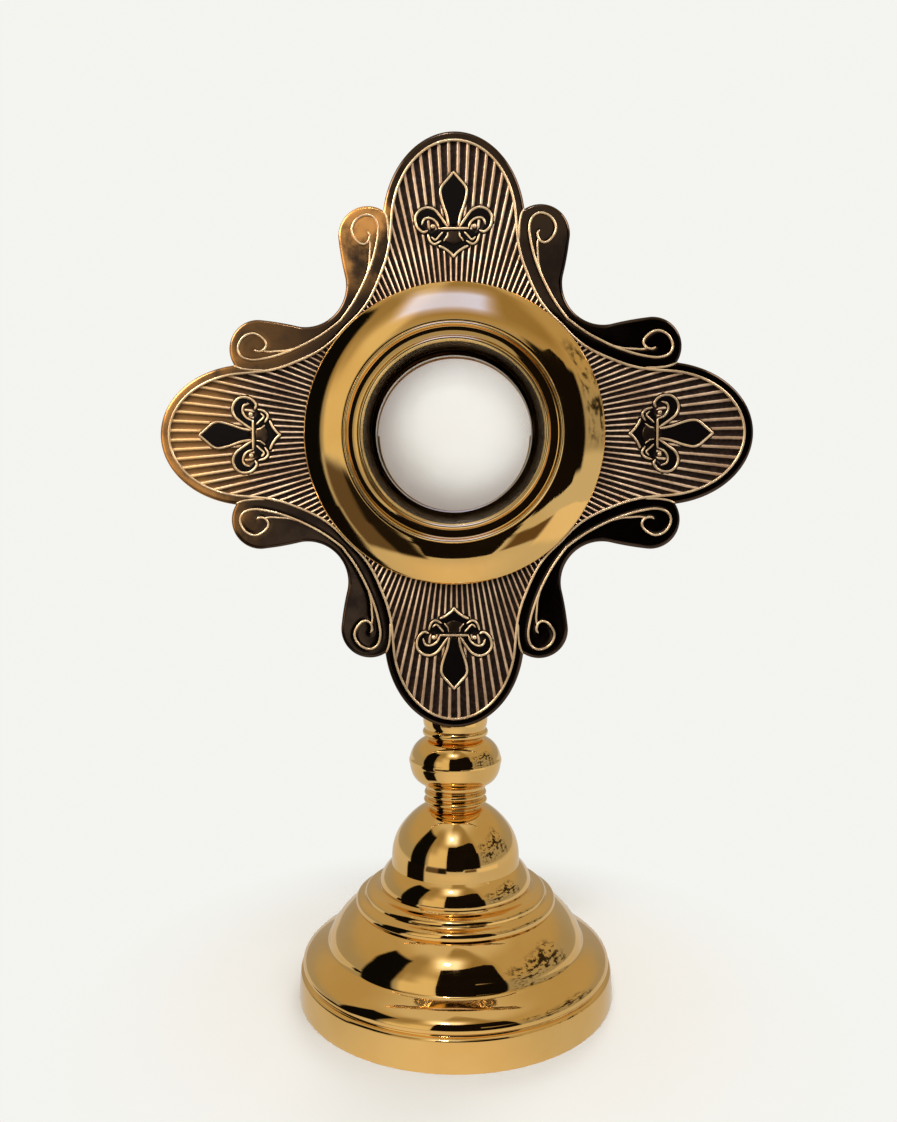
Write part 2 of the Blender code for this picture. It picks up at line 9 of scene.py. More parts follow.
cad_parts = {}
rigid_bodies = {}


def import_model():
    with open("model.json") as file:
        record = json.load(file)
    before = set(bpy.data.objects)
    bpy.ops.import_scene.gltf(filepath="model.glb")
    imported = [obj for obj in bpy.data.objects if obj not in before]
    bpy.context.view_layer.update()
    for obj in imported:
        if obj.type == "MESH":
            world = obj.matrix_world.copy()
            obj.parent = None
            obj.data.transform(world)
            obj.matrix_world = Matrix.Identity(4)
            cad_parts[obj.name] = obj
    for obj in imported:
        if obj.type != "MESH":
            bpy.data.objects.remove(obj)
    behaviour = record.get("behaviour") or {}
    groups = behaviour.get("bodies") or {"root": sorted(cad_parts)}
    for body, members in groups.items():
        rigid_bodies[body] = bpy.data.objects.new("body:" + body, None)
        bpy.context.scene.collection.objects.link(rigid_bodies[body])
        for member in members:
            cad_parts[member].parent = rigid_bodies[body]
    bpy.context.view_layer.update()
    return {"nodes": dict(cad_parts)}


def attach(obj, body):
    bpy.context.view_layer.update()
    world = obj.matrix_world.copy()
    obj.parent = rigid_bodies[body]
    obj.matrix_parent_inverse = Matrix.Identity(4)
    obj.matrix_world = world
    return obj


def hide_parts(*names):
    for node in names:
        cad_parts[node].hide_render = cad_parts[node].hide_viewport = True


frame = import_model()

MM = 0.001
GLORY_Z = 260.2       # height of the glory's centre
GLORY_AT = (0, 0, GLORY_Z)
BORE = 3.4            # radius of the hole down the stem
FLUTES = 184          # radial flutes round the whole plate
OCTANT_STEPS = 184    # angular steps in an eighth of the plate, eight to a flute
SCENE = bpy.context.scene


# =============================================================== mesh helpers
# A mesh here is a pair: a list of (x, y, z) in millimetres and a list of faces.
def curve(points, steps):
    """A Catmull-Rom curve through 2-D points, with so many steps to a span."""
    pts = [np.array(p, float) for p in points]
    if len(pts) == 2:
        return [tuple(p.tolist()) for p in pts]
    pts = [2 * pts[0] - pts[1], *pts, 2 * pts[-1] - pts[-2]]
    out = []
    for before, start, end, after in zip(pts, pts[1:], pts[2:], pts[3:]):
        for k in range(steps):
            t = k / steps
            p = 0.5 * (2 * start + (end - before) * t
                       + (2 * before - 5 * start + 4 * end - after) * t * t
                       + (3 * start - before - 3 * end + after) * t ** 3)
            out.append(tuple(p.tolist()))
    out.append(tuple(pts[-2].tolist()))
    return out


def profile(segments, steps=4):
    """Joins smooth segments into one outline, with a crease wherever two meet.
    Each later segment starts at the last point of the one before."""
    out = curve(segments[0], steps)
    for segment in segments[1:]:
        out += curve([out[-1]] + segment, steps)[1:]
    return out


def fillet(loop, steps=3):
    """A closed outline of (a, b) corners; those with a third value are rounded by that radius."""
    out = []
    for i, (a, b, *radius) in enumerate(loop):
        if not radius:
            out.append((a, b))
            continue
        before, corner, after = (np.array(loop[j % len(loop)][:2], float)
                                 for j in (i - 1, i, i + 1))
        length_in, length_out = np.linalg.norm(before - corner), np.linalg.norm(after - corner)
        way_in, way_out = (before - corner) / length_in, (after - corner) / length_out
        half = math.acos(float(way_in @ way_out)) / 2
        cut = min(radius[0] / math.tan(half), length_in * 0.48, length_out * 0.48)
        start, end = corner + way_in * cut, corner + way_out * cut
        for k in range(steps + 1):
            t = k / steps
            p = (1 - t) ** 2 * start + 2 * t * (1 - t) * corner + t * t * end
            out.append(tuple(p.tolist()))
    return out


def place(name, mesh, mat, body="stand", replaces=None, angle=32):
    """Puts Blender mesh data in the scene, riding on a body; edges over angle stay sharp."""
    mesh.shade_smooth()
    mesh.set_sharp_from_angle(angle=math.radians(angle))
    mesh.materials.clear()
    mesh.materials.append(mat)
    obj = bpy.data.objects.new(name, mesh)
    SCENE.collection.objects.link(obj)
    if body:
        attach(obj, body)
    if replaces:
        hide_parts(replaces)
    return obj


def make(name, part, mat, body="stand", replaces=None, angle=32):
    """Turns a (vertices, faces) pair into an object."""
    verts, faces = part
    mesh = bpy.data.meshes.new(name)
    mesh.from_pydata([(x * MM, y * MM, z * MM) for x, y, z in verts], [], faces)
    work = bmesh.new()
    work.from_mesh(mesh)
    bmesh.ops.remove_doubles(work, verts=work.verts, dist=2e-7)
    bmesh.ops.recalc_face_normals(work, faces=work.faces)
    work.to_mesh(mesh)
    work.free()
    return place(name, mesh, mat, body, replaces, angle)


def lathe(loop, segs, axis="Z", sweep=None, centre=(0.0, 0.0, 0.0)):
    """A closed (radius, height) outline turned about an axis, all round or over a sweep."""
    start, end = sweep or (0.0, 360.0)
    count = segs + 1 if sweep else segs
    verts, rows, faces, poles = [], [], [], {}
    for i in range(count):
        turn = math.radians(start + (end - start) * i / segs)
        cos, sin = math.cos(turn), math.sin(turn)
        row = []
        for j, (radius, height) in enumerate(loop):
            if radius == 0 and j in poles:
                row.append(poles[j])
                continue
            row.append(len(verts))
            p = {"Z": (radius * cos, radius * sin, height),
                 "Y": (radius * cos, height, radius * sin),
                 "X": (height, radius * cos, radius * sin)}[axis]
            verts.append(tuple(c + q for c, q in zip(centre, p)))
            if radius == 0:
                poles[j] = row[-1]
        rows.append(row)
    for i in range(segs):
        a, b = rows[i], rows[(i + 1) % count]
        for j in range(len(loop)):
            k = (j + 1) % len(loop)
            face = tuple(dict.fromkeys((a[j], a[k], b[k], b[j])))
            if len(face) >= 3:
                faces.append(face)
    if sweep:
        faces.append(tuple(rows[0]))
        faces.append(tuple(reversed(rows[-1])))
    return verts, faces


def wall(rings, width, closed=False):
    """Faces joining each ring of so many vertices to the next, and the last to the first."""
    faces = []
    for i in range(rings if closed else rings - 1):
        a, b = i * width, (i + 1) % rings * width
        for j in range(width):
            k = (j + 1) % width
            faces.append((a + j, a + k, b + k, b + j))
    return faces


def loft(rings):
    """A solid through a list of rings, closed at both ends."""
    width = len(rings[0])
    verts = [p for ring in rings for p in ring]
    faces = wall(len(rings), width)
    faces.append(tuple(range(width)))
    faces.append(tuple(reversed(range(len(verts) - width, len(verts)))))
    return verts, faces


def prism(outline, y0, y1, edge=0.0):
    """An outline of (x, z) standing between y0 and y1, its rims rounded by edge."""
    pts = np.array(outline, float)
    before, after = np.roll(pts, 1, 0), np.roll(pts, -1, 0)
    along = after - before
    along /= np.linalg.norm(along, axis=1)[:, None]
    outward = np.stack([along[:, 1], -along[:, 0]], 1)
    if float(np.sum(pts[:, 0] * after[:, 1] - after[:, 0] * pts[:, 1])) < 0:
        outward = -outward
    rows = [(0, y0), (0, y1)]
    if edge:
        bends = [math.pi / 2 * k / 3 for k in range(4)]
        quarter = [(edge * (1 - math.sin(a)), edge * (1 - math.cos(a))) for a in bends]
        rows = [(inset, y0 + rise) for inset, rise in quarter]
        rows += [(inset, y1 - rise) for inset, rise in reversed(quarter)]
    return loft([[(x, y, z) for x, z in (pts - outward * inset).tolist()] for inset, y in rows])


def join(*parts):
    verts, faces = [], []
    for part_verts, part_faces in parts:
        offset = len(verts)
        verts += list(part_verts)
        faces += [tuple(i + offset for i in face) for face in part_faces]
    return verts, faces


def tube(path, radius, sides=10, lift=0.95, taper=None):
    """A bead: an elliptical tube along a path of (x, y, z), lift times as deep as it is wide.
    With taper it is open and its last so many rings narrow to a tip; without, it is a loop."""
    pts = np.array(path, float)
    count = len(pts)
    closed = taper is None
    flat = pts[:, [0, 2]]
    if closed:
        along = np.roll(flat, -1, 0) - np.roll(flat, 1, 0)
    else:
        along = np.gradient(flat, axis=0)
    along /= np.maximum(np.linalg.norm(along, axis=1), 1e-9)[:, None]
    side = np.stack([along[:, 1], -along[:, 0]], 1)
    radii = np.full(count, radius, float)
    for i in range(taper or 0):
        scale = max(math.sin(math.pi / 2 * (i + 1) / (taper + 1)), 0.35)
        radii[i] *= scale
        radii[count - 1 - i] *= scale
    verts = []
    for (x, y, z), (side_x, side_z), r in zip(pts, side, radii):
        for j in range(sides):
            turn = 2 * math.pi * j / sides
            out = r * math.cos(turn)
            verts.append((x + side_x * out, y - lift * r * math.sin(turn), z + side_z * out))
    faces = wall(count, sides, closed)
    if not closed:
        for end, way in ((0, -along[0]), (count - 1, along[-1])):
            reach = radii[end] * 0.7
            tip, first = len(verts), end * sides
            verts.append((pts[end, 0] + way[0] * reach, pts[end, 1],
                          pts[end, 2] + way[1] * reach))
            for j in range(sides):
                faces.append((first + j, first + (j + 1) % sides, tip))
    return verts, faces


# =============================================================== shader helpers
class Value:
    """A node's output. Arithmetic on it adds math nodes and gives another Value."""

    def __init__(self, net, socket):
        self.net, self.socket = net, socket

    def __add__(self, other):
        return self.net.calc("ADD", self, other)

    def __radd__(self, other):
        return self.net.calc("ADD", other, self)

    def __sub__(self, other):
        return self.net.calc("SUBTRACT", self, other)

    def __rsub__(self, other):
        return self.net.calc("SUBTRACT", other, self)

    def __mul__(self, other):
        return self.net.calc("MULTIPLY", self, other)

    def __rmul__(self, other):
        return self.net.calc("MULTIPLY", other, self)

    def __pow__(self, other):
        return self.net.calc("POWER", self, other)

    def __abs__(self):
        return self.net.calc("ABSOLUTE", self)


class Net:
    """Fills a node tree, emptied first. Most methods add nodes and return a Value."""

    def __init__(self, tree):
        self.tree = tree
        tree.nodes.clear()

    def new(self, kind, ins, **props):
        node = self.tree.nodes.new("ShaderNode" + kind)
        for key, value in props.items():
            setattr(node, key, value)
        for key, value in ins.items():
            socket = node.inputs[key]
            if isinstance(value, Value):
                self.tree.links.new(value.socket, socket)
            elif isinstance(value, tuple) and socket.type == "RGBA":
                socket.default_value = (*value, 1.0)
            else:
                socket.default_value = value
        return node

    def add(self, kind, ins=None, output=0, **props):
        return Value(self, self.new(kind, ins or {}, **props).outputs[output])

    def calc(self, operation, *args):
        return self.add("Math", dict(enumerate(args)), operation=operation)

    def max(self, a, b):
        return self.calc("MAXIMUM", a, b)

    def hypot(self, a, b):
        return self.calc("SQRT", a ** 2.0 + b ** 2.0)

    def azimuth(self, x, y):
        """Degrees round Z from the front, growing towards +X."""
        return self.calc("ARCTAN2", x, y * -1.0) * math.degrees(1)

    def ramp(self, value, lo, hi):
        """0 at lo rising smoothly to 1 at hi."""
        return self.add("MapRange", {"Value": value, "From Min": lo, "From Max": hi},
                        interpolation_type="SMOOTHSTEP")

    def band(self, value, rise, fall):
        """1 between two ramps, each given as (lo, hi)."""
        return self.ramp(value, *rise) * (1.0 - self.ramp(value, *fall))

    def soft_band(self, value, start, end, soft):
        return self.band(value, (start - soft, start + soft), (end - soft, end + soft))

    def mix(self, factor, first, second):
        """A colour going from first to second."""
        return self.add("Mix", {0: factor, 6: first, 7: second}, output=2, data_type="RGBA")

    def lerp(self, factor, first, second):
        """A number going from first to second."""
        return self.add("Mix", {0: factor, 2: first, 3: second}, data_type="FLOAT")

    def noise(self, where, scale, detail=3, rough=0.5, dims="3D"):
        ins = {"Scale": scale, "Detail": detail, "Roughness": rough}
        ins["W" if dims == "1D" else "Vector"] = where
        return self.add("TexNoise", ins, noise_dimensions=dims)

    def coords(self, output="Object"):
        return self.add("TexCoord", output=output)

    def split(self, vector):
        node = self.new("SeparateXYZ", {"Vector": vector})
        return [Value(self, socket) for socket in node.outputs]

    def pointiness(self):
        return self.add("NewGeometry", output="Pointiness")

    def bump(self, height, strength, distance):
        return self.add("Bump", {"Strength": strength, "Distance": distance, "Height": height})

    def emission(self, colour, strength=1.0):
        return self.add("Emission", {"Color": colour, "Strength": strength})

    def mix_shader(self, factor, first, second):
        return self.add("MixShader", {0: factor, 1: first, 2: second})

    def seen_or_lit(self, seen, lit):
        """One shader for the camera's own rays, another for all light and reflections."""
        return self.mix_shader(self.add("LightPath", output="Is Camera Ray"), lit, seen)

    def out(self, shader, kind="OutputMaterial"):
        self.new(kind, {"Surface": shader})

    def surface(self, colour, rough, bump, extra):
        ins = {"Base Color": colour, "Roughness": rough, "Normal": bump, **extra}
        self.out(self.add("BsdfPrincipled", ins))


def new_material(name):
    mat = bpy.data.materials.new(name)
    mat.use_nodes = True
    return mat, Net(mat.node_tree)


# =============================================================== materials
def polished_brass(name, axis):
    """Spun and lacquered brass: faint turning lines, smudges, and a tarnished brown in the creases
    that is partly painted shade.
    The stem is turned about Z, the dish about Y through the glory's centre."""
    gold, deep_gold, tarnish_and_shade = (0.905, 0.585, 0.205), (0.865, 0.535, 0.170), (0.30, 0.135, 0.035)
    mat, net = new_material(name)
    point = net.coords()
    x, y, z = net.split(point)
    is_dish = axis == "Y"
    if is_dish:
        radius, along = net.hypot(x, z - GLORY_Z * MM), y
    else:
        radius, along = net.hypot(x, y), z
    lines = net.noise(radius * 1.0 + along * 1.35, scale=2600, detail=2, rough=0.6, dims="1D")
    soft = net.noise(point, scale=34, detail=4, rough=0.55)
    smear = net.noise(point, scale=95, detail=5, rough=0.62)
    edges = net.pointiness()
    crease = 1.0 - net.ramp(edges, lo=0.40, hi=0.492)
    colour = net.mix(net.ramp(soft, lo=0.35, hi=0.7), gold, deep_gold)
    # painted shade: the creases are coloured a tarnished brown, part real tarnish and part the shade
    # that falls there
    colour = net.mix(crease * (0.30 if is_dish else 0.75), colour, tarnish_and_shade)
    # smudges, turning lines and creases each dull the lacquer a little
    rough = 0.035 + net.ramp(smear, lo=0.50, hi=0.80) * 0.075
    rough = rough + abs(lines - 0.5) * 0.05 + crease * 0.18
    if is_dish:
        # painted shade: the funnel between the window's lip and its beads is coloured near black, the
        # dark of that sunk recess
        black, umber = (0.022, 0.013, 0.008), (0.065, 0.036, 0.015)
        lip_highlight, edge_highlight_and_wear, bead_gold = (0.95, 0.90, 0.84), (1.0, 0.80, 0.46), (1.0, 0.72, 0.32)
        funnel_shade = net.band(radius, rise=(0.03472, 0.03482), fall=(0.0396, 0.0400))
        colour = net.mix(funnel_shade * 0.97, colour, net.mix(soft, black, umber))
        # painted highlight: a pale, rough line round the window's lip
        lip = 1.0 - net.ramp(radius, lo=0.03470, hi=0.03480)
        colour = net.mix(lip, colour, lip_highlight)
        # painted highlight: the most convex edges of the dish are coloured pale gold
        colour = net.mix(net.ramp(edges, lo=0.53, hi=0.62) * 0.7, colour, edge_highlight_and_wear)
        outer_bead = net.band(radius, rise=(0.0464, 0.0468), fall=(0.0483, 0.0487))
        inner_bead = net.band(radius, rise=(0.0401, 0.0405), fall=(0.0421, 0.0425))
        colour = net.mix(net.max(outer_bead, inner_bead), colour, bead_gold)
        rough = rough + lip * 0.30
    waves = net.noise(point, scale=120, detail=1, rough=0.4)
    bump = net.bump(lines * 0.10 + waves * 0.55, strength=0.045, distance=0.0006)
    net.surface(colour, rough, bump,
                {"Metallic": 1.0, "Coat Weight": 0.12, "Coat Roughness": 0.05})
    return mat


def antique_brass(name):
    """The cast plate: black-brown patina down in the flutes, rubbed ridges, dark scroll faces.
    Attribute relief runs from 0 in the valleys to 1 on rubbed tops, and is below 0 inside the
    fleurs-de-lis; face is 1 on smooth ground, back is 1 on the rear."""
    mat, net = new_material(name)
    point = net.coords()
    relief, face, back = (net.add("Attribute", output="Fac", attribute_name=key)
                          for key in ("relief", "face", "back"))
    blotch = net.noise(point, scale=55, detail=5, rough=0.6)
    fine = net.noise(point, scale=620, detail=4, rough=0.6)
    rubbed = net.ramp(relief + (fine - 0.5) * 0.45, lo=0.45, hi=0.92)
    inner = net.ramp(relief * -1.0, lo=0.15, hi=0.35)

    # painted light: the left lobe and the upper left curls are coloured brighter and more golden, as
    # if lit from the left
    x, _, z = net.split(point)
    up = z - GLORY_Z * MM
    radius = net.hypot(x, up)
    leftward = x * -1.0 + (blotch - 0.5) * 0.05
    left_light = net.ramp(leftward, lo=0.084, hi=0.120)
    left_light_face = net.ramp(leftward, lo=0.028, hi=0.044) * net.ramp(up, lo=0.058, hi=0.078)
    faint = net.ramp(leftward, lo=0.045, hi=0.095) * net.ramp(up, lo=-0.01, hi=0.03) * 0.22
    left_light_face = net.max(net.max(left_light_face, faint), left_light * 0.75)

    # rubbed ridges, browner towards the lobes' tips
    pale, brown, tip_brown = (0.86, 0.66, 0.48), (0.50, 0.34, 0.22), (0.30, 0.185, 0.11)
    left_lit_gold = (0.90, 0.58, 0.24)
    top = net.mix(net.ramp(blotch, lo=0.38, hi=0.62), pale, brown)
    top = net.mix(net.ramp(radius, lo=0.088, hi=0.126) * 0.55, top, tip_brown)
    # painted light: the ridges turn gold on the left
    top = net.mix(left_light * 0.7, top, left_lit_gold)
    # flute valleys, browner on the left as painted light
    black, soot = (0.009, 0.005, 0.004), (0.028, 0.016, 0.012)
    left_lit_valley, inner_black = (0.24, 0.125, 0.045), (0.005, 0.004, 0.004)
    valley = net.mix(net.ramp(fine, lo=0.35, hi=0.7), black, soot)
    valley = net.mix(left_light * 0.75, valley, left_lit_valley)
    valley = net.mix(inner, valley, inner_black)
    fluted = net.mix(rubbed, valley, top)
    # smooth ground between the scrolls, copper on the left and its raised edges much more gold there,
    # as painted light
    umber, dark = (0.085, 0.055, 0.036), (0.045, 0.030, 0.024)
    left_lit_copper, raised_gold = (0.74, 0.37, 0.115), (0.85, 0.58, 0.26)
    smooth = net.mix(net.ramp(blotch, lo=0.38, hi=0.66), umber, dark)
    smooth = net.mix(left_light_face * net.ramp(blotch, lo=0.26, hi=0.54), smooth, left_lit_copper)
    raised = net.ramp(relief, lo=0.4, hi=1.0) * net.lerp(left_light_face, 0.12, 0.8)
    smooth = net.mix(raised, smooth, raised_gold)
    colour = net.mix(face, fluted, smooth)
    # the rough cast back, clouded and pitted
    cast_light, cast_dark = (0.31, 0.190, 0.086), (0.225, 0.134, 0.063)
    cloud, pit = (0.165, 0.100, 0.055), (0.12, 0.075, 0.045)
    grain = net.noise(point, scale=150, detail=6, rough=0.72)
    cast = net.mix(net.ramp(grain, lo=0.30, hi=0.75), cast_light, cast_dark)
    clouds = net.noise(point, scale=22, detail=3, rough=0.5)
    cast = net.mix(net.ramp(clouds, lo=0.40, hi=0.70) * 0.45, cast, cloud)
    pits = net.noise(point, scale=1100, detail=2, rough=0.5)
    cast = net.mix(net.ramp(pits, lo=0.60, hi=0.72) * 0.5, cast, pit)
    colour = net.mix(back, colour, cast)

    # each of these goes from flutes to smooth faces, and then to the back
    fluted_rough = net.lerp(rubbed, net.lerp(inner, 0.55, 0.22), 0.34)
    face_rough = net.lerp(left_light_face, 0.12, 0.26) + net.ramp(blotch, lo=0.4, hi=0.75) * 0.12
    rough = net.lerp(back, net.lerp(face, fluted_rough, face_rough), 0.42)
    metal = net.lerp(face, net.lerp(rubbed, 0.45, 0.50), net.lerp(left_light_face, 1.0, 0.8))
    gloss = net.lerp(back, net.lerp(face, net.lerp(rubbed, 0.14, 0.5), 0.5), 0.5)
    height = (net.noise(point, scale=900, detail=3, rough=0.6) * 0.5
              + net.noise(point, scale=260, detail=3, rough=0.5) * 0.8)
    amount = net.lerp(back, net.lerp(face, 0.30, 0.035), 0.28)
    bump = net.bump(height, strength=amount, distance=0.0004)
    net.surface(colour, rough, bump, {"Metallic": metal, "Specular IOR Level": gloss})
    return mat


def rubbed_brass(name):
    """The raised lines of the plate, rubbed bright with a little patina left in patches."""
    bright, tan, patina = (0.96, 0.76, 0.49), (0.82, 0.57, 0.32), (0.38, 0.27, 0.17)
    right_shade_brown, speck = (0.42, 0.31, 0.22), (0.16, 0.09, 0.05)
    mat, net = new_material(name)
    point = net.coords()
    blotch = net.noise(point, scale=110, detail=4, rough=0.6)
    fine = net.noise(point, scale=700, detail=3, rough=0.6)
    colour = net.mix(net.ramp(blotch, lo=0.42, hi=0.72), bright, tan)
    patches = net.noise(point, scale=38, detail=3, rough=0.6)
    colour = net.mix(net.ramp(patches, lo=0.46, hi=0.64) * 0.68, colour, patina)
    # painted shade: darker and browner towards the right, away from the light on the left
    x, _, _ = net.split(point)
    colour = net.mix(net.ramp(x, lo=-0.02, hi=0.07) * 0.34, colour, right_shade_brown)
    colour = net.mix(net.ramp(fine, lo=0.58, hi=0.78) * 0.55, colour, speck)
    bump = net.bump(fine, strength=0.10, distance=0.0002)
    net.surface(colour, 0.17 + fine * 0.14, bump, {"Metallic": 0.62})
    return mat


def plain_brass(name):
    """Machined fittings: satin, brushed, slightly browned at the inner corners."""
    light, dark = (0.80, 0.54, 0.23), (0.68, 0.43, 0.17)
    corner_brown, edge_highlight_and_wear = (0.22, 0.11, 0.04), (0.93, 0.72, 0.40)
    mat, net = new_material(name)
    point = net.coords()
    x, y, z = net.split(point)
    # squeezed along Y, so the brushing runs round the rings
    stretched = net.add("CombineXYZ", {0: x, 1: y * 14.0, 2: z})
    brush = net.noise(stretched, scale=420, detail=4, rough=0.65)
    soft = net.noise(point, scale=70, detail=4, rough=0.55)
    edges = net.pointiness()
    crease = 1.0 - net.ramp(edges, lo=0.42, hi=0.495)
    wear = net.ramp(edges, lo=0.515, hi=0.58)
    colour = net.mix(net.ramp(soft, lo=0.35, hi=0.7), light, dark)
    colour = net.mix(crease * 0.6, colour, corner_brown)
    colour = net.mix(wear * 0.6, colour, edge_highlight_and_wear)
    bump = net.bump(brush, strength=0.07, distance=0.0003)
    net.surface(colour, 0.20 + brush * 0.18, bump, {"Metallic": 1.0})
    return mat


def bare_steel(name):
    light, dark = (0.56, 0.56, 0.55), (0.40, 0.40, 0.41)
    mat, net = new_material(name)
    point = net.coords()
    spangle = net.add("TexVoronoi", {"Vector": point, "Scale": 260}, output="Distance")
    fine = net.noise(point, scale=800, detail=3, rough=0.6)
    colour = net.mix(net.ramp(spangle, lo=0.1, hi=0.7), light, dark)
    bump = net.bump(fine, strength=0.08, distance=0.0002)
    net.surface(colour, 0.26 + fine * 0.2, bump, {"Metallic": 1.0})
    return mat


def clear_glass(name):
    """A thin pane: light goes straight through, with a surface reflection and a trace of dust."""
    mat, net = new_material(name)
    dust = net.noise(net.coords(), scale=140, detail=5, rough=0.65)
    rough = 0.008 + net.ramp(dust, lo=0.55, hi=0.8) * 0.05
    clear = net.add("BsdfTransparent", {"Color": (0.965, 0.975, 0.970)})
    shine = net.add("BsdfGlossy", {"Color": (1.0, 1.0, 1.0), "Roughness": rough})
    haze = net.add("BsdfDiffuse", {"Color": (0.85, 0.86, 0.86)})
    fresnel = net.add("Fresnel", {"IOR": 1.45})
    pane = net.mix_shader(fresnel * 0.55, clear, shine)
    net.out(net.mix_shader(net.ramp(dust, lo=0.5, hi=0.9) * 0.02, pane, haze))
    return mat


def green_felt(name):
    dark, light, left_light = (0.018, 0.085, 0.040), (0.045, 0.165, 0.080), (0.03, 0.12, 0.05)
    mat, net = new_material(name)
    point = net.coords()
    fibre = net.noise(point, scale=900, detail=6, rough=0.7)
    patch = net.noise(point, scale=60, detail=3, rough=0.5)
    colour = net.mix(net.ramp(fibre, lo=0.3, hi=0.75), dark, light)
    colour = net.mix(patch * 0.3, colour, left_light)
    bump = net.bump(fibre, strength=0.6, distance=0.0005)
    net.surface(colour, 0.95, bump, {"Sheen Weight": 0.5})
    return mat


def host_wafer(name):
    """Unleavened bread: off-white, matt, faintly mottled, with painted shade darkening it towards its
    rim and a painted glow of its own.
    """
    light, cream = (0.92, 0.868, 0.845), (0.885, 0.828, 0.80)
    fleck_tan, rim_shade = (0.74, 0.66, 0.57), (0.34, 0.275, 0.245)
    # painted light: the lit spot of the wafer, palest, up and right of centre
    lit_x, lit_z = 0.0046, GLORY_Z * MM + 0.0058    # the palest place, up and right of centre
    mat, net = new_material(name)
    point = net.coords()
    x, _, z = net.split(point)
    from_lit_spot = net.hypot(x - lit_x, z - lit_z)
    # painted shade: the wafer browns away from the lit spot towards its rim
    rim = net.ramp(from_lit_spot, lo=0.010, hi=0.042) ** 1.7
    fleck = net.noise(point, scale=420, detail=5, rough=0.6)
    cloud = net.noise(point, scale=60, detail=3, rough=0.5)
    colour = net.mix(net.ramp(cloud, lo=0.3, hi=0.7), light, cream)
    colour = net.mix(net.ramp(fleck, lo=0.55, hi=0.8) * 0.10, colour, fleck_tan)
    colour = net.mix(rim * 0.85, colour, rim_shade)
    bump = net.bump(fleck, strength=0.10, distance=0.0003)
    # painted light: the wafer glows faintly in its own colour, though it is no lamp
    net.surface(colour, 0.75, bump, {"Emission Color": colour, "Emission Strength": 0.80})
    return mat


STEM_BRASS = polished_brass("brass_polished_stem", "Z")
DISH_BRASS = polished_brass("brass_polished_dish", "Y")
ANTIQUE = antique_brass("brass_antique_plate")
RUBBED = rubbed_brass("brass_rubbed_beads")
PLAIN = plain_brass("brass_plain_fittings")
STEEL = bare_steel("steel_bare")
GLASS = clear_glass("glass_clear")
FELT = green_felt("felt_green")
WAFER = host_wafer("wafer_host")

# =============================================================== stem and foot
# Outer outlines, going up: smooth segments of (radius, height).
FOOT = [[(73.2, 0), (73.4, 1.2), (73.3, 6), (72.9, 12.2), (72.5, 13.4), (71.7, 14)],
        [(71.1, 14.3), (70.9, 14.8)],
        [(71.7, 15.6), (71.6, 17.2), (70.5, 19), (68.5, 20.7), (65.9, 22.2), (63.1, 23.5),
         (61.3, 24.3)],
        [(60.1, 25.1), (59.5, 26.4)],
        [(58.8, 28.6), (57.5, 31), (55.8, 33.4), (53.8, 35.8), (51.4, 38.1), (48.7, 40.2),
         (46.4, 41.6)]]
TIER = [[(46.4, 41.6), (46.9, 42.4), (46.9, 43.9), (46.2, 45.2), (44.9, 45.8)],
        [(43.2, 46.2), (42.6, 46.8)],
        [(42.3, 48.1), (41.2, 49.1), (39.6, 49.5)],
        [(37.2, 49.8), (35.7, 50.7)],
        [(35.6, 52.5), (34.8, 54.9), (33.4, 57.2), (31.7, 59.2), (30.1, 60.6)]]
BELL = [[(30.1, 60.6), (30, 62.5), (29.9, 65.5), (29.5, 68.5), (28.6, 71.8), (27.2, 75),
         (25.3, 78), (22.8, 81), (19.9, 83.8), (16.5, 86.2), (12.8, 87.6)]]
NECK = [[(12.8, 87.6), (12.5, 88.1), (12.6, 88.7), (13, 89.3)],
        [(14.3, 89.6), (14.9, 90.5), (14.3, 91.5), (13.3, 91.8)],
        [(13.1, 92.3), (13.4, 92.8)],
        [(14.3, 93.2), (14.6, 94.1), (14.1, 95), (13.5, 95.3)],
        [(13.3, 95.8), (13.5, 96.3)],
        [(14.3, 96.8), (14.7, 97.8), (14.8, 98.4)]]
KNOP = [[(14.8, 98.5), (16.7, 99.1), (18.8, 100.8), (20.3, 103.2), (21.1, 105.8), (21.4, 107.8)],
        [(21.7, 108.7), (21.7, 109.9), (21.4, 110.8)],
        [(20.7, 113.2), (19.3, 115.8), (17.1, 118), (14.5, 119.4), (13, 119.8)]]
COLLAR = [[(13, 119.8), (12.7, 120.4), (13, 121)],
          [(14.7, 121.3), (15.3, 122.2), (15.3, 123.2), (14.8, 124)],
          [(14.3, 124.4), (14.4, 125)],
          [(14.9, 126.5), (15.1, 128.6), (14.9, 131), (14.1, 133.2), (12.7, 134.4)]]
# Inner outlines of the hollow pieces, going down.
FOOT_IN = [(20.0, 41.6), (20.0, 40.1), (45.0, 40.1), (52.8, 34.0), (57.2, 27.4), (58.2, 24.2),
           (67.0, 19.6), (69.4, 17.0), (69.4, 12.4), (71.6, 12.4), (71.6, 0.0)]
TIER_IN = [(16.0, 60.6), (16.0, 58.9), (29.8, 58.9), (33.2, 54.4), (34.0, 50.4), (34.8, 48.4),
           (39.6, 47.7), (41.0, 45.2), (44.6, 43.4), (20.0, 43.4), (20.0, 41.6)]
BELL_IN = [(BORE, 87.6), (BORE, 85.2), (13.8, 85.0), (19.6, 81.6), (23.8, 77.2), (26.8, 72.0),
           (28.4, 66.6), (28.4, 62.2), (16.0, 62.2), (16.0, 60.6)]

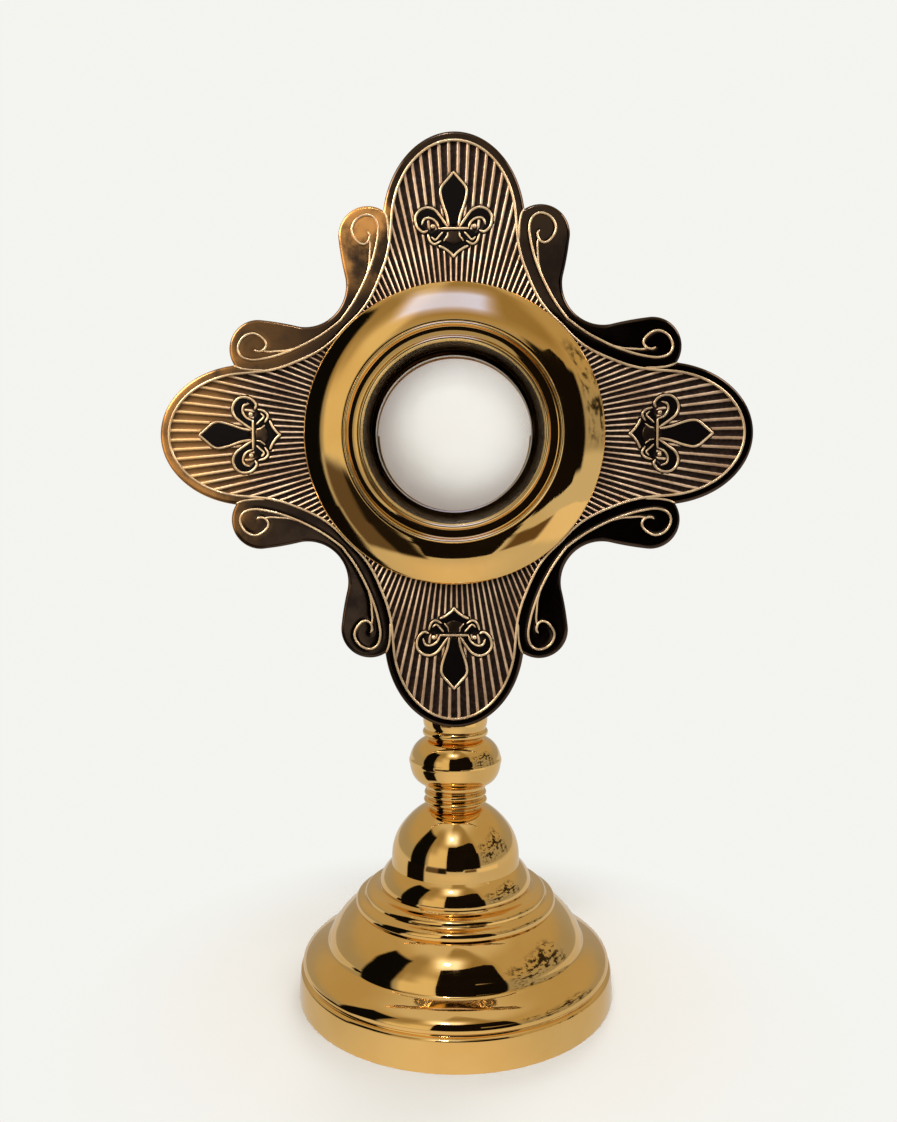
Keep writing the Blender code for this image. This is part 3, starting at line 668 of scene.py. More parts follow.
# name, CAD node, outer and inner outline (None: a plain bore), segments round
for name, node, segments, inner, segs in (
        ("foot_spun", "foot_shell", FOOT, FOOT_IN, 240),
        ("tier_spun", "tier_shell", TIER, TIER_IN, 200),
        ("bell_spun", "bell_shell", BELL, BELL_IN, 176),
        ("neck_turned", "neck_rings", NECK, None, 128),
        ("knop_turned", "knop", KNOP, None, 144),
        ("collar_turned", "stem_collar", COLLAR, None, 128)):
    outer = profile(segments)
    inner = inner or [(BORE, outer[-1][1]), (BORE, outer[0][1])]
    make(name, lathe(outer + inner, segs), STEM_BRASS, replaces=node, angle=24)

# =============================================================== the dished bezel
# Front outline from the rim in to the window: smooth segments of (radius, y).
DISH = [[(67.0, -18.8), (67.0, -19.2), (66.9, -19.6), (66.4, -20.1)],
        [(64, -21.5), (60, -23.5), (56, -25), (52, -26), (49, -26.5)],
        [(48.4, -26.4)],
        [(48.1, -27.0), (47.5, -27.3), (46.95, -27.0), (46.7, -26.3)],
        [(46.5, -25.5), (46.0, -25.0), (44.6, -24.8), (43.2, -24.85), (42.45, -24.95),
         (42.2, -25.3)],
        [(41.9, -26.0), (41.2, -26.4), (40.5, -26.1), (40.3, -25.6)],
        [(39.6, -24.6)],
        [(38.6, -22.6), (36.9, -20.2), (34.75, -17.8)],
        [(34.6, -17.5), (34.45, -17.35), (34.3, -17.3)]]
DISH_BACK = [(34.3, -16.7), (38.2, -16.7), (38.2, -13.8), (41.5, -13.8), (41.5, -23.4),
             (48.4, -24.6), (53.2, -24.1), (60.0, -21.8), (65.4, -18.8)]
# a hollow boss behind the dish for each track screw: (radius, y, corner radius)
BOSS = [(1.8, -18.8, .15), (3.4, -18.8, .3), (3.4, -21.3), (1.8, -21.3)]
# the track screws, (x, z) from the glory's centre
SCREW_CIRCLE, SCREW_ANGLE = 60, math.radians(24.7)
SCREWS = [(side * SCREW_CIRCLE * math.cos(SCREW_ANGLE), level * SCREW_CIRCLE * math.sin(SCREW_ANGLE))
          for side in (1, -1) for level in (1, -1)]

dish = lathe(profile(DISH, 5) + DISH_BACK, 288, "Y", centre=GLORY_AT)
bosses = [lathe(fillet(BOSS), 32, "Y", centre=(x, 0, GLORY_Z + z)) for x, z in SCREWS]
make("dish_spun", join(dish, *bosses), DISH_BRASS, replaces="bezel", angle=24)

# =============================================================== the glory plate
# The plate is drawn as one octant, from the top lobe's axis to the diagonal, in (across, along)
# that axis, measured from the glory's centre.
LOBE_ALONG, LOBE_HALF_WIDTH, LOBE_HALF_LENGTH = 92.0, 31.5, 40.0   # the lobe's ellipse
CURL_AT, CURL_R = (38.1, 87.3), 13.0      # circle of the curl beside the lobe
HOLLOW_AT, HOLLOW_R = 66.0, 18.2          # circle of the hollow, centred on the diagonal
HOLE_R, FLUTE_START_R = 42.0, 66.2
EDGE_R = 1.5                              # rounding of the front edge
VALLEY_Y, RIDGE_Y, BACK_Y = -17.25, -18.0, -15.5
GROUND_Y, GROUND_SWELL, GROUND_WIDTH = -17.95, 0.34, 2.4   # smooth ground between the lines
FLEUR_Y, FLEUR_SWELL, FLEUR_WIDTH = -17.8, 0.25, 2.2


def ellipse_point(turn, inset=0.0):
    return ((LOBE_HALF_WIDTH - inset) * math.sin(turn),
            LOBE_ALONG + (LOBE_HALF_LENGTH - inset) * math.cos(turn))


# Raised lines of an octant. The lobe's bead ends where an ellipse of these half axes
# passes the end point.
BEAD_END, BEAD_END_AXES = (28.1, 94.8), (28.2, 36.7)
BEAD_TURN = math.atan2(BEAD_END[0] / BEAD_END_AXES[0],
                       (BEAD_END[1] - LOBE_ALONG) / BEAD_END_AXES[1])
LOBE_BEAD = [ellipse_point(BEAD_TURN * i / 60, 4.1) for i in range(61)]
SIDE_BEAD = curve([LOBE_BEAD[-1], (27.8, 89.0), (28.5, 83.0), (30.0, 76.6), (32.2, 70.6),
                   (34.8, 64.4), (38.0, 58.4), (42.2, 53.0), (47.7, 47.7)], 10)
BORDER = LOBE_BEAD + SIDE_BEAD[1:]
SPUR = curve([(30.75, 98.0), (29.6, 95.2), (29.0, 92.0), (28.75, 88.5), (28.8, 85.0)], 6)
SCROLL = curve([(50.2, 50.2), (46.3, 55.4), (42.8, 60.9), (38.6, 69.3), (35.6, 77.2),
                (33.9, 83.9), (33.2, 89.5), (34.2, 93.8), (36.6, 95.9), (39.6, 96.0),
                (42.8, 94.2), (44.6, 91.3), (44.8, 88.6), (43.4, 85.8), (41.3, 83.8),
                (39.2, 83.5), (37.5, 84.8), (36.9, 87.2), (37.7, 88.8)], 7)
WEDGE = curve([(37.2, 85.4), (36.8, 82.4), (37.0, 79.0), (37.4, 74.0), (38.9, 68.4)], 7)

# the right half of the fleur-de-lis
PETAL = curve([(0.0, 114.2), (2.6, 111.2), (5.0, 108.4), (5.8, 106.2), (5.5, 103.3), (4.4, 99.5),
               (3.0, 95.5), (2.1, 91.0)], 6)
SIDE_OUT = curve([(2.5, 90.4), (5.9, 95.3), (8.3, 98.0), (11.6, 99.1), (15.0, 97.8),
                  (16.8, 94.9), (16.2, 91.0), (13.6, 88.5), (11.4, 89.1)], 6)
SIDE_IN = curve([(14.0, 91.6), (12.9, 94.1), (10.4, 94.5), (7.8, 93.0), (6.4, 90.2)], 6)
LOWER_OUT = curve([(11.4, 87.6), (10.4, 84.6), (8.3, 83.2), (5.6, 84.6)], 6)
LOWER_IN = curve([(9.7, 86.3), (8.0, 85.1), (6.0, 87.1), (4.7, 88.4)], 6)
CUSP = curve([(6.4, 82.4), (4.2, 81.4), (2.4, 80.2), (0.9, 78.9), (0.0, 77.7)], 6)
SHIELD = [(0.0, 88.3), (2.5, 88.3), (2.7, 86.6), (4.3, 84.6), (3.2, 83.5), (1.4, 83.0),
          (0.0, 83.0)]
BAR_ALONG = 89.9
LOWER_BODY = [(0.0, 89.8), (6.4, 89.8), (11.0, 88.6), (10.6, 85.0), (8.3, 83.2), (6.4, 82.4),
              (2.4, 80.2), (0.0, 77.7)]

# Rows behind the rounded edge: inset from the rim, y, relief, back.
RIM_ROWS = [(0.0, -16.6, 0.45, 0), (0.0, -16.0, 0.3, 0), (0.12, -15.68, 0.3, 0),
            (0.45, BACK_Y, 0.2, 1)]
BACK_ROWS = (0.97, 0.9, 0.8, 0.68, 0.56, 0.44)   # fractions of the way from hole to rim
HOLE_ROWS = [(43.0, BACK_Y), (42.3, BACK_Y), (HOLE_R, -15.8), (HOLE_R, -18.1)]   # radius, y


def octant_outline():
    """Dense outline from the lobe's tip to the diagonal, and the index of the notch where the
    lobe's ellipse meets the curl."""
    curl_u, curl_w = CURL_AT
    notch = 0.0
    while math.dist(ellipse_point(notch), CURL_AT) > CURL_R:
        notch += 0.0005
    pts = [ellipse_point(notch * i / 200) for i in range(201)]
    notch_index = len(pts) - 1
    start = math.atan2(pts[-1][1] - curl_w, pts[-1][0] - curl_u)
    gap_u, gap_w = HOLLOW_AT - curl_u, HOLLOW_AT - curl_w
    leave = math.atan2(gap_w, gap_u) + math.acos((CURL_R + HOLLOW_R) / math.hypot(gap_u, gap_w))
    for i in range(1, 121):
        turn = start + (leave - start) * i / 120
        pts.append((curl_u + CURL_R * math.cos(turn), curl_w + CURL_R * math.sin(turn)))
    enter = (leave + math.pi) % (2 * math.pi)
    diagonal = math.radians(225.0)
    for i in range(121):
        turn = enter + (diagonal - enter) * i / 120
        pts.append((HOLLOW_AT + HOLLOW_R * math.cos(turn), HOLLOW_AT + HOLLOW_R * math.sin(turn)))
    return np.array(pts), notch_index


def octant_grid():
    """Angles, rim radii and cosines of the rim's slant, and the radii of the front's grid."""
    outline, notch_index = octant_outline()
    outline_angle = np.arctan2(outline[:, 0], outline[:, 1])
    outline_angle = np.maximum.accumulate(outline_angle + np.arange(len(outline)) * 1e-9)
    angle = np.linspace(0, math.pi / 4, OCTANT_STEPS + 1)
    notch_angle = outline_angle[notch_index]
    i = int(round(notch_angle / angle[1]))
    angle[i] = notch_angle
    rim = np.interp(angle, outline_angle, np.hypot(outline[:, 0], outline[:, 1]))
    # one-sided slopes beside the notch keep it crisp
    slope = np.gradient(rim, angle)
    left = (rim[i] - rim[i - 1]) / (angle[i] - angle[i - 1])
    right = (rim[i + 1] - rim[i]) / (angle[i + 1] - angle[i])
    slope[i - 1], slope[i], slope[i + 1] = left, 0.5 * (left + right), right
    slope[0], slope[-1] = 0.0, 0.0
    slant = rim / np.hypot(rim, slope)
    inset = np.minimum(EDGE_R / slant, 4.2)
    top = rim - inset
    columns = [np.full_like(rim, r) for r in (HOLE_R, 44.0, 58.0, FLUTE_START_R)]
    columns += [FLUTE_START_R + (top - FLUTE_START_R) * (j / 86) for j in range(1, 87)]
    columns += [top + inset * math.sin(math.pi / 2 * j / 5) for j in range(1, 6)]
    return angle, rim, slant, np.stack(columns, 1)


def distance(across, along, lines):
    """Distance of many points to the nearest of some polylines."""
    best = np.full(across.shape, 1e9)
    for line in lines:
        for (u0, w0), (u1, w1) in zip(line, line[1:]):
            du, dw = u1 - u0, w1 - w0
            t = ((across - u0) * du + (along - w0) * dw) / (du * du + dw * dw)
            t = np.clip(t, 0, 1)
            best = np.minimum(best, np.hypot(across - u0 - t * du, along - w0 - t * dw))
    return best


def inside(across, along, polygon):
    hit = np.zeros(across.shape, bool)
    for (u0, w0), (u1, w1) in zip(polygon, polygon[1:] + polygon[:1]):
        if w0 != w1:
            spans = (w0 > along) != (w1 > along)
            hit ^= spans & (across < (u1 - u0) * (along - w0) / (w1 - w0) + u0)
    return hit


def swell(gap, width):
    """0 at a line, rising as a quarter round to 1 at the given width from it."""
    return np.sqrt(1 - (1 - np.clip(gap / width, 0, 1)) ** 2)


def octant_relief(angle, rim, slant, radius):
    """The front's y and its relief and face attributes over an octant."""
    turn = np.repeat(angle[:, None], radius.shape[1], 1)
    across, along = radius * np.sin(turn), radius * np.cos(turn)

    # flutes, with a valley on the lobe's axis
    phase = turn / (2 * math.pi) * FLUTES
    from_valley = np.abs(((phase + 0.5) % 1.0) - 0.5)
    rise = np.clip((from_valley - 0.20) / 0.25, 0, 1)
    ridge = rise * rise * (3 - 2 * rise)

    # the lobe inside the border is fluted, and beyond it lies smooth ground
    border = np.array(BORDER[::-1])
    limit = np.interp(along, border[:, 1], border[:, 0], left=1e3, right=-1.0)
    fluted = across < limit
    mirrored = [[(w, u) for u, w in line] for line in (SIDE_BEAD, SCROLL)]
    to_line = distance(across, along, [BORDER, SCROLL, WEDGE] + mirrored)
    ground = GROUND_Y - GROUND_SWELL * swell(to_line, GROUND_WIDTH)
    y = np.where(fluted, VALLEY_Y + (RIDGE_Y - VALLEY_Y) * ridge, ground)
    face = np.where(fluted, 0.0, 1.0)
    relief = np.where(fluted, ridge, 0.0)

    # the fleur-de-lis, in a narrow sunk margin
    body = (inside(across, along, PETAL + [(0.0, 91.0)])
            | inside(across, along, SIDE_OUT + SIDE_IN) | inside(across, along, LOWER_BODY))
    near = (across < 20) & (along > 74) & (along < 118)
    to_fleur = np.full(across.shape, 1e9)
    to_fleur[near] = distance(across[near], along[near],
                              [PETAL, SIDE_OUT, SIDE_IN, LOWER_OUT, LOWER_IN, CUSP,
                               [(0, BAR_ALONG), (6.4, BAR_ALONG)], SHIELD])
    y = np.where(body, FLEUR_Y - FLEUR_SWELL * swell(to_fleur, FLEUR_WIDTH), y)
    face = np.where(body, 0.0, face)
    relief = np.where(body, -0.5, relief)
    margin = near & ~body & (to_fleur < 0.9)
    y = np.where(margin, VALLEY_Y, y)
    relief = np.where(margin, 0.0, relief)

    # the rounded edge, and the flat ring under the dish
    to_edge = (rim[:, None] - radius) * slant[:, None]
    roll = 1 - swell(to_edge, EDGE_R)
    near_edge = to_edge < EDGE_R
    y = np.where(near_edge, y + 1.35 * roll, y)
    edge_relief = np.maximum(relief, 0.55 * np.clip(roll * 1.6, 0, 1))
    relief = np.where(near_edge, edge_relief, relief)
    y[:, :3] = -18.4
    y[:, 3] = np.minimum(y[:, 3], VALLEY_Y)
    return y, relief, face


def set_attribute(mesh, name, values):
    attribute = mesh.attributes.new(name, "FLOAT", "POINT")
    attribute.data.foreach_set("value", values)


def plate_mesh():
    angle, rim, slant, radius = octant_grid()
    # unfold to a quarter, then four times round
    quarter = np.concatenate([angle, math.pi / 2 - angle[-2::-1]])[:-1]
    turn = np.concatenate([quarter + math.pi / 2 * i for i in range(4)])[:, None]
    fronts = [np.tile(np.concatenate([grid, grid[-2::-1]])[:-1], (4, 1))
              for grid in (radius, *octant_relief(angle, rim, slant, radius))]
    fronts.append(np.zeros_like(fronts[0]))
    edge = fronts[0][:, -1:]
    # rows round the rim, across the back and into the hole: radius, y, relief, face, back
    behind = [(edge - inset, y, relief, 1, back) for inset, y, relief, back in RIM_ROWS]
    behind += [(HOLE_R + (edge - HOLE_R) * part, BACK_Y, 0, 1, 1) for part in BACK_ROWS]
    behind += [(hole, y, 0, 1, 1) for hole, y in HOLE_ROWS]
    ones = np.ones_like(edge)
    radius, y, relief, face, back = (np.hstack([front, *(ones * row[i] for row in behind)])
                                     for i, front in enumerate(fronts))
    points = np.stack([radius * np.sin(turn), y, radius * np.cos(turn) + GLORY_Z], 2) * MM
    rows, columns = radius.shape
    i, j = np.arange(rows)[:, None], np.arange(columns)[None, :]
    i2, j2 = (i + 1) % rows, (j + 1) % columns
    quads = np.stack([i * columns + j, i2 * columns + j, i2 * columns + j2, i * columns + j2], 2)
    mesh = bpy.data.meshes.new("glory_relief")
    mesh.from_pydata(points.reshape(-1, 3).tolist(), [], quads.reshape(-1, 4).tolist())
    mesh.validate()
    for name, values in (("relief", relief), ("face", face), ("back", back)):
        set_attribute(mesh, name, values.astype(np.float32).ravel())
    # faces must point outwards
    work = bmesh.new()
    work.from_mesh(mesh)
    if work.calc_volume(signed=True) < 0:
        bmesh.ops.reverse_faces(work, faces=work.faces)
        work.to_mesh(mesh)
    work.free()
    return mesh


place("glory_relief", plate_mesh(), ANTIQUE, replaces="glory_plate", angle=50)


def spin(line, quarter, flip, y):
    """A line drawn on the top lobe, turned by so many quarters; flip mirrors it first."""
    turn = math.pi / 2 * quarter
    cos, sin = math.cos(turn), math.sin(turn)
    out = []
    for across, along in line:
        if flip:
            across = -across
        out.append((across * cos + along * sin, y, GLORY_Z - across * sin + along * cos))
    return out


BEAD_Y = -18.25
ring, spurs, scrolls = [], [], []
for k in range(4):
    ring += spin(BORDER[:-1], k, False, BEAD_Y)
    ring += spin(BORDER[1:][::-1], k + 1, True, BEAD_Y)
    for flip in (False, True):
        spurs.append(tube(spin(SPUR, k, flip, BEAD_Y - 0.05), 0.42, taper=3))
        scrolls.append(tube(spin(WEDGE, k, flip, BEAD_Y + 0.02), 0.40, taper=4))
    # a C-scroll runs from one curl head through the diagonal to the next
    path = (spin(SCROLL[::-1], k, False, BEAD_Y - 0.08)
            + spin(SCROLL[1:], k + 1, True, BEAD_Y - 0.08))
    scrolls.append(tube(path, 0.50, sides=12, lift=1.15, taper=5))
make("border_beads", join(tube(ring, 0.55, sides=12, lift=1.15), *spurs), RUBBED, angle=60)
make("scroll_beads", join(*scrolls), RUBBED, angle=60)

FLEUR_BEAD_Y = -18.0
DOT_AT, DOT_R, DOT_FRONT = (9.2, 90.9), 0.95, FLEUR_BEAD_Y - 0.85
DOT = ([(0, DOT_FRONT)]
       + [(DOT_R * math.sin(a), FLEUR_BEAD_Y - 0.85 * math.cos(a)) for a in (0.3, 0.6, 0.9, 1.2, 1.5)]
       + [(DOT_R, FLEUR_BEAD_Y + 0.5), (0, FLEUR_BEAD_Y + 0.5)])
# the little shield under the bar
PLAQUE = [(-2.2, 88.6), (2.2, 88.6), (2.5, 86.6), (3.6, 84.8), (1.6, 83.6), (0, 83.2),
          (-1.6, 83.6), (-3.6, 84.8), (-2.5, 86.6)]
# beads across the axis: line, radius, step forward, taper
AXIS_BEADS = [([(-u, w) for u, w in PETAL[::-1]] + PETAL[1:], 0.52, 0, 2),
              ([(-6.6 + 1.1 * i, BAR_ALONG) for i in range(13)], 0.5, 0.15, 2),
              ([(-u, w) for u, w in CUSP] + CUSP[::-1][1:], 0.5, 0, 2)]
# beads on either side of it, in the same columns
SIDE_BEADS = [(SIDE_OUT, 0.52, 0, 3), (SIDE_IN, 0.44, 0.05, 3), (LOWER_OUT, 0.46, 0, 3),
              (LOWER_IN, 0.38, 0.05, 3), (SHIELD[1:4], 0.36, 0.05, 1)]


def fleur_beads(beads, quarter, flip):
    return [tube(spin(line, quarter, flip, FLEUR_BEAD_Y - step), radius, taper=taper)
            for line, radius, step, taper in beads]


for k, side in enumerate(("top", "right", "bottom", "left")):
    bits = fleur_beads(AXIS_BEADS, k, False)
    for flip in (False, True):
        bits += fleur_beads(SIDE_BEADS, k, flip)
        bits.append(lathe(DOT, 16, "Y", centre=spin([DOT_AT], k, flip, 0)[0]))
    plaque = [(x, z) for x, _, z in spin(PLAQUE, k, False, 0)]
    shield = make("fleur_shield_" + side,
                  prism(plaque, FLEUR_BEAD_Y - 0.45, FLEUR_BEAD_Y + 0.6, 0.35), ANTIQUE, angle=60)
    for key, level in (("relief", 0.35), ("face", 0.8), ("back", 0.0)):
        set_attribute(shield.data, key, [level] * len(shield.data.vertices))
    make("fleur_" + side, join(*bits), RUBBED, angle=60)


# =============================================================== fittings behind
def cut_away(target, tool):
    """Subtracts the tool from the target's mesh and removes it."""
    modifier = target.modifiers.new("cut", "BOOLEAN")
    modifier.operation, modifier.solver, modifier.object = "DIFFERENCE", "EXACT", tool
    graph = bpy.context.evaluated_depsgraph_get()
    mesh = bpy.data.meshes.new_from_object(target.evaluated_get(graph))
    target.modifiers.clear()
    target.data = mesh
    bpy.data.objects.remove(tool)
    mesh.shade_smooth()
    mesh.set_sharp_from_angle(angle=math.radians(32))


def screw(node, x, y, z, head_r, head_h, shank_r, shank_l):
    """A cheese-head screw along Y with a slotted, slightly domed head and a threaded shank."""
    outline = [(0, head_h), (head_r * 0.55, head_h - 0.04), (head_r * 0.80, head_h - 0.14),
               (head_r * 0.94, head_h - 0.36), (head_r, head_h - 0.7), (head_r, 0.15),
               (head_r - 0.15, 0), (shank_r, 0)]
    pitch, depth, height = 0.7, 0.22, -0.5
    while height - pitch > -shank_l + 0.4:
        outline += [(shank_r, height), (shank_r - depth, height - pitch * 0.5)]
        height -= pitch
    outline += [(shank_r, -shank_l + 0.35), (shank_r - 0.35, -shank_l), (0, -shank_l)]
    name = node + "_slotted"
    obj = make(name, lathe(outline, 48, "Y", centre=(x, y, z)), PLAIN)
    # every slot is turned a different way
    turn = math.radians(35 + 40 * math.sin(x * 1.7 + z * 0.9))
    cos, sin = math.cos(turn), math.sin(turn)
    half_l, half_w, slot_depth = head_r + 1, 0.42, 0.85
    corners = ((-half_l, -half_w), (half_l, -half_w), (half_l, half_w), (-half_l, half_w))
    slot = [(x + cos * i - sin * j, z + sin * i + cos * j) for i, j in corners]
    bar = prism(slot, y + head_h - slot_depth, y + head_h + 1)
    cut_away(obj, make(name + "_tool", bar, PLAIN, body=None))
    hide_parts(node)


for i, (x, z) in enumerate(SCREWS):
    screw(f"track_screw_{i + 1}", x, -12.9, GLORY_Z + z,
          head_r=3.0, head_h=2.0, shank_r=1.4, shank_l=7.1)
for i, z in enumerate((163.0, 171.0)):
    screw(f"post_screw_{i + 1}", 0.0, -9.9, z, head_r=3.2, head_h=2.4, shank_r=1.5, shank_l=6.8)

# the U track runs round the luna's lower half and up its sides: (radius, y, corner radius)
TRACK = fillet([(50, -15.2, .3), (50, .3, .5), (42, .3, .4), (42, -1.1, .4), (45.5, -1.1, .3),
                (45.5, -15.2, .2)])
TRACK_MID = (46.0, -7.0)
# its end faces are drawn in towards that point
TRACK_END = [(TRACK_MID[0] + (r - TRACK_MID[0]) * 0.97, TRACK_MID[1] + (y - TRACK_MID[1]) * 0.975)
             for r, y in TRACK]
EAR_R, EAR_ROOT = 4.5, 47.5


def track_side(side, stations):
    return [[(side * r, y, GLORY_Z + height) for r, y in section] for section, height in stations]


def track_ear(x, z):
    """A tab from the track with a half-round end about a screw: level above, radial below."""
    reach = math.hypot(x, z)
    if z > 0:
        out_x, out_z = math.copysign(1.0, x), 0.0
        root_x, root_z = out_x * EAR_ROOT, z
    else:
        out_x, out_z = x / reach, z / reach
        root_x, root_z = out_x * EAR_ROOT, out_z * EAR_ROOT
    pts = []
    for k in range(13):
        turn = -math.pi / 2 + math.pi * k / 12
        cos, sin = math.cos(turn), math.sin(turn)
        pts.append((x + EAR_R * (out_x * cos - out_z * sin), z + EAR_R * (out_z * cos + out_x * sin)))
    pts.append((root_x - out_z * EAR_R, root_z + out_x * EAR_R))
    pts.append((root_x + out_z * EAR_R, root_z - out_x * EAR_R))
    return prism([(a, GLORY_Z + b) for a, b in pts], -15.2, -13.2, 0.35)


sides = [(TRACK_END, 40.0), (TRACK, 39.6), (TRACK, 20.0)]
rings = track_side(1, sides)
for i in range(97):
    turn = math.radians(-180.0 * i / 96)
    rings.append([(r * math.cos(turn), y, GLORY_Z + r * math.sin(turn)) for r, y in TRACK])
rings += track_side(-1, sides[::-1])
make("track_swept", join(loft(rings), *(track_ear(x, z) for x, z in SCREWS)), PLAIN,
     replaces="luna_track")


def ring_piece(name, node, loop, body, segs=176, mat=PLAIN, extra=(), sweep=None):
    """A ring or disc about the glory's axis, from corners of (radius, y, corner radius)."""
    part = lathe(fillet(loop), segs, "Y", sweep=sweep, centre=GLORY_AT)
    make(name, join(part, *extra), mat, body, node)


def pane(name, node, radius, y0, y1, body):
    loop = [(0, y0), (radius, y0, .25), (radius, y1, .25), (0, y1)]
    ring_piece(name, node, loop, body, 128, GLASS)


ring_piece("front_retainer_ring", "glass_retainer",
           [(35.0, -14.3, .15), (37.9, -14.3, .15), (37.9, -13.5, .2), (35.0, -13.5, .2)], "stand")
pane("front_pane", "front_glass", 37.9, -16.4, -14.6, "stand")

# the luna's case, with two hinge arms on top; side view of an arm in (y, height)
HINGE_Y, HINGE_UP = 3.2, 44.6
HINGE_AT = (0, HINGE_Y, GLORY_Z + HINGE_UP)
ARM = fillet([(-4.0, 42.2), (0.2, 43.3), (HINGE_Y + 0.4, 42.5, .3), (HINGE_Y + 1.8, 43.4, .6),
              (HINGE_Y + 2.2, HINGE_UP, .8), (HINGE_Y + 1.5, HINGE_UP + 1.6, .9),
              (HINGE_Y, HINGE_UP + 2.2, .8), (-2.0, HINGE_UP + 1.8, .8), (-4.0, 44.0, .3)], 4)
arms = []
for x0, x1 in ((5.8, 10.0), (-10.0, -5.8)):
    verts, faces = prism(ARM, x0, x1, 0.25)
    arms.append(([(b, a, GLORY_Z + c) for a, b, c in verts], faces))
ring_piece("luna_case", "luna_ring",
           [(44.0, -13.0, .25), (44.6, -12.4, .25), (44.6, -9.3), (44.3, -9.1), (44.3, -8.7),
            (44.6, -8.5), (44.6, -5.9), (44.3, -5.7), (44.3, -5.3), (44.6, -5.1),
            (44.6, -2.1, .25), (44.1, -1.6, .25), (39.2, -1.6, .3), (39.2, -12.2),
            (35.6, -12.2, .2), (35.6, -13.0, .25)], "luna", extra=arms)
pane("luna_pane", "luna_glass", 38.9, -11.9, -10.1, "luna")
ring_piece("luna_retainer_ring", "luna_retainer",
           [(36.0, -9.8, .15), (38.9, -9.8, .15), (38.9, -8.9, .2), (36.0, -8.9, .25)], "luna")
ring_piece("host_wafer_disc", "host_disc",
           [(0, -6.9), (20, -6.93), (33.4, -6.9), (34.0, -6.78), (35.0, -6.6, .2),
            (35.0, -6.1, .2), (34.0, -5.95), (0, -5.9)], "luna", 144, WAFER)
ring_piece("lunula_half_ring", "lunula_clip",
           [(38.8, -8.4, .25), (38.8, -4.4, .25), (34.0, -4.4, .3), (34.0, -5.5, .25),
            (35.5, -5.5), (35.5, -7.3), (34.0, -7.3, .25), (34.0, -8.4, .3)],
           "luna", 96, sweep=(180.0, 360.0))

# lifting knob, a small turned finial: (radius, height above the glory's centre)
KNOB = profile([[(1.4, 45.6), (2.4, 46.0), (2.55, 46.6), (2.3, 47.2), (1.5, 47.6)],
                [(1.55, 48.1), (2.3, 48.6), (3.1, 49.6), (3.35, 50.7), (3.05, 52.0),
                 (2.3, 53.0), (1.3, 53.6), (0.9, 53.7)]])
KNOB += [(0.8, 53.85), (0.4, 54.0), (0, 54.0), (0, 40.8), (1.2, 40.8), (1.4, 41.0)]
make("lift_finial", lathe(KNOB, 64, centre=(0, -7.3, GLORY_Z)), PLAIN, "luna", "lift_knob")
PIN = fillet([(0, -10.8), (1.6, -10.8, .3), (1.6, -10.3, .1), (0.85, -10.3), (0.85, 10.3),
              (1.6, 10.3, .1), (1.6, 10.8, .3), (0, 10.8)])
make("hinge_pin_turned", lathe(PIN, 48, "X", centre=HINGE_AT), STEEL, "luna", "hinge_pin")

# the rear lid: ring, with the hinge's knuckle and leaf above and a lifting tab below
KNUCKLE = fillet([(1.15, -5.4, .1), (1.9, -5.4, .3), (1.9, 5.4, .3), (1.15, 5.4, .1)])
LEAF = [(-5.0, 39.0), (5.0, 39.0), (5.0, 43.3), (-5.0, 43.3)]
TAB = [(-5.0, -39.0), (5.0, -39.0)] + curve([(5.0, -45.0), (4.0, -46.5), (2.2, -47.0),
                                             (-2.2, -47.0), (-4.0, -46.5), (-5.0, -45.0)], 4)


def lid_plate(outline, y0, y1):
    return prism([(x, GLORY_Z + z) for x, z in outline], y0, y1, 0.3)


ring_piece("lid_frame_ring", "lid_ring",
           [(41.0, -1.3, .25), (41.0, 1.9, .5), (40.2, 2.7, .5), (35.0, 2.7, .4),
            (35.0, 1.8, .2), (37.9, 1.8), (37.9, -1.3, .2)], "luna_lid",
           extra=[lathe(KNUCKLE, 48, "X", centre=HINGE_AT),
                  lid_plate(LEAF, 0.6, 2.8), lid_plate(TAB, 1.1, 2.5)])
pane("lid_pane", "lid_glass", 37.6, 0.1, 1.5, "luna_lid")
ring_piece("lid_retainer_ring", "lid_retainer",
           [(35.2, -1.1, .2), (37.6, -1.1, .15), (37.6, -0.2, .15), (35.2, -0.2, .15)],
           "luna_lid")

# CAD nodes that stay get finishes, and the post a softened edge
for node, mat in {"glory_post": PLAIN, "tie_rod": STEEL, "ballast_plate": STEEL,
                  "tie_washer": STEEL, "tie_nut": STEEL, "base_cover": PLAIN,
                  "felt_pad": FELT}.items():
    materials = frame["nodes"][node].data.materials
    materials.clear()
    materials.append(mat)
bevel = frame["nodes"]["glory_post"].modifiers.new("soft_edges", "BEVEL")
bevel.width, bevel.segments = 0.0004, 2
bevel.limit_method, bevel.angle_limit = "ANGLE", math.radians(40)

# =============================================================== surroundings
PALE = (0.905, 0.905, 0.870)      # the backdrop as the camera sees it
NEAR_BLACK, BROWN, DARK = (0.006, 0.005, 0.005), (0.125, 0.092, 0.066), (0.014, 0.011, 0.009)

# Patches of the reflected room, in degrees: azimuth from, to; elevation from, to;
# softness of the azimuth and elevation edges; then strength where given; colour.
ROOM_PATCHES = [(-15, 45, 30, 88, 9, 8, 0.85, (0.30, 0.225, 0.105)),    # dim warm room in front
                (-48, -15, -14, 38, 3, 8, 0.9, (0.84, 0.75, 0.57)),     # bright, left of it
                (-60, -34, 22, 66, 8, 8, 0.6, (0.24, 0.18, 0.09))]      # dim, above that
LOW_PATCHES = [(-50, -13, -30, -3, 3, 3, BROWN), (-28, -13, -34, -3, 2, 3, DARK)]
BLACK_PATCHES = [(-85, -53, -60, 54, 2, 2, (0.004, 0.004, 0.004)),
                 (14, 46, -8, 25, 1.5, 1.5, NEAR_BLACK)]

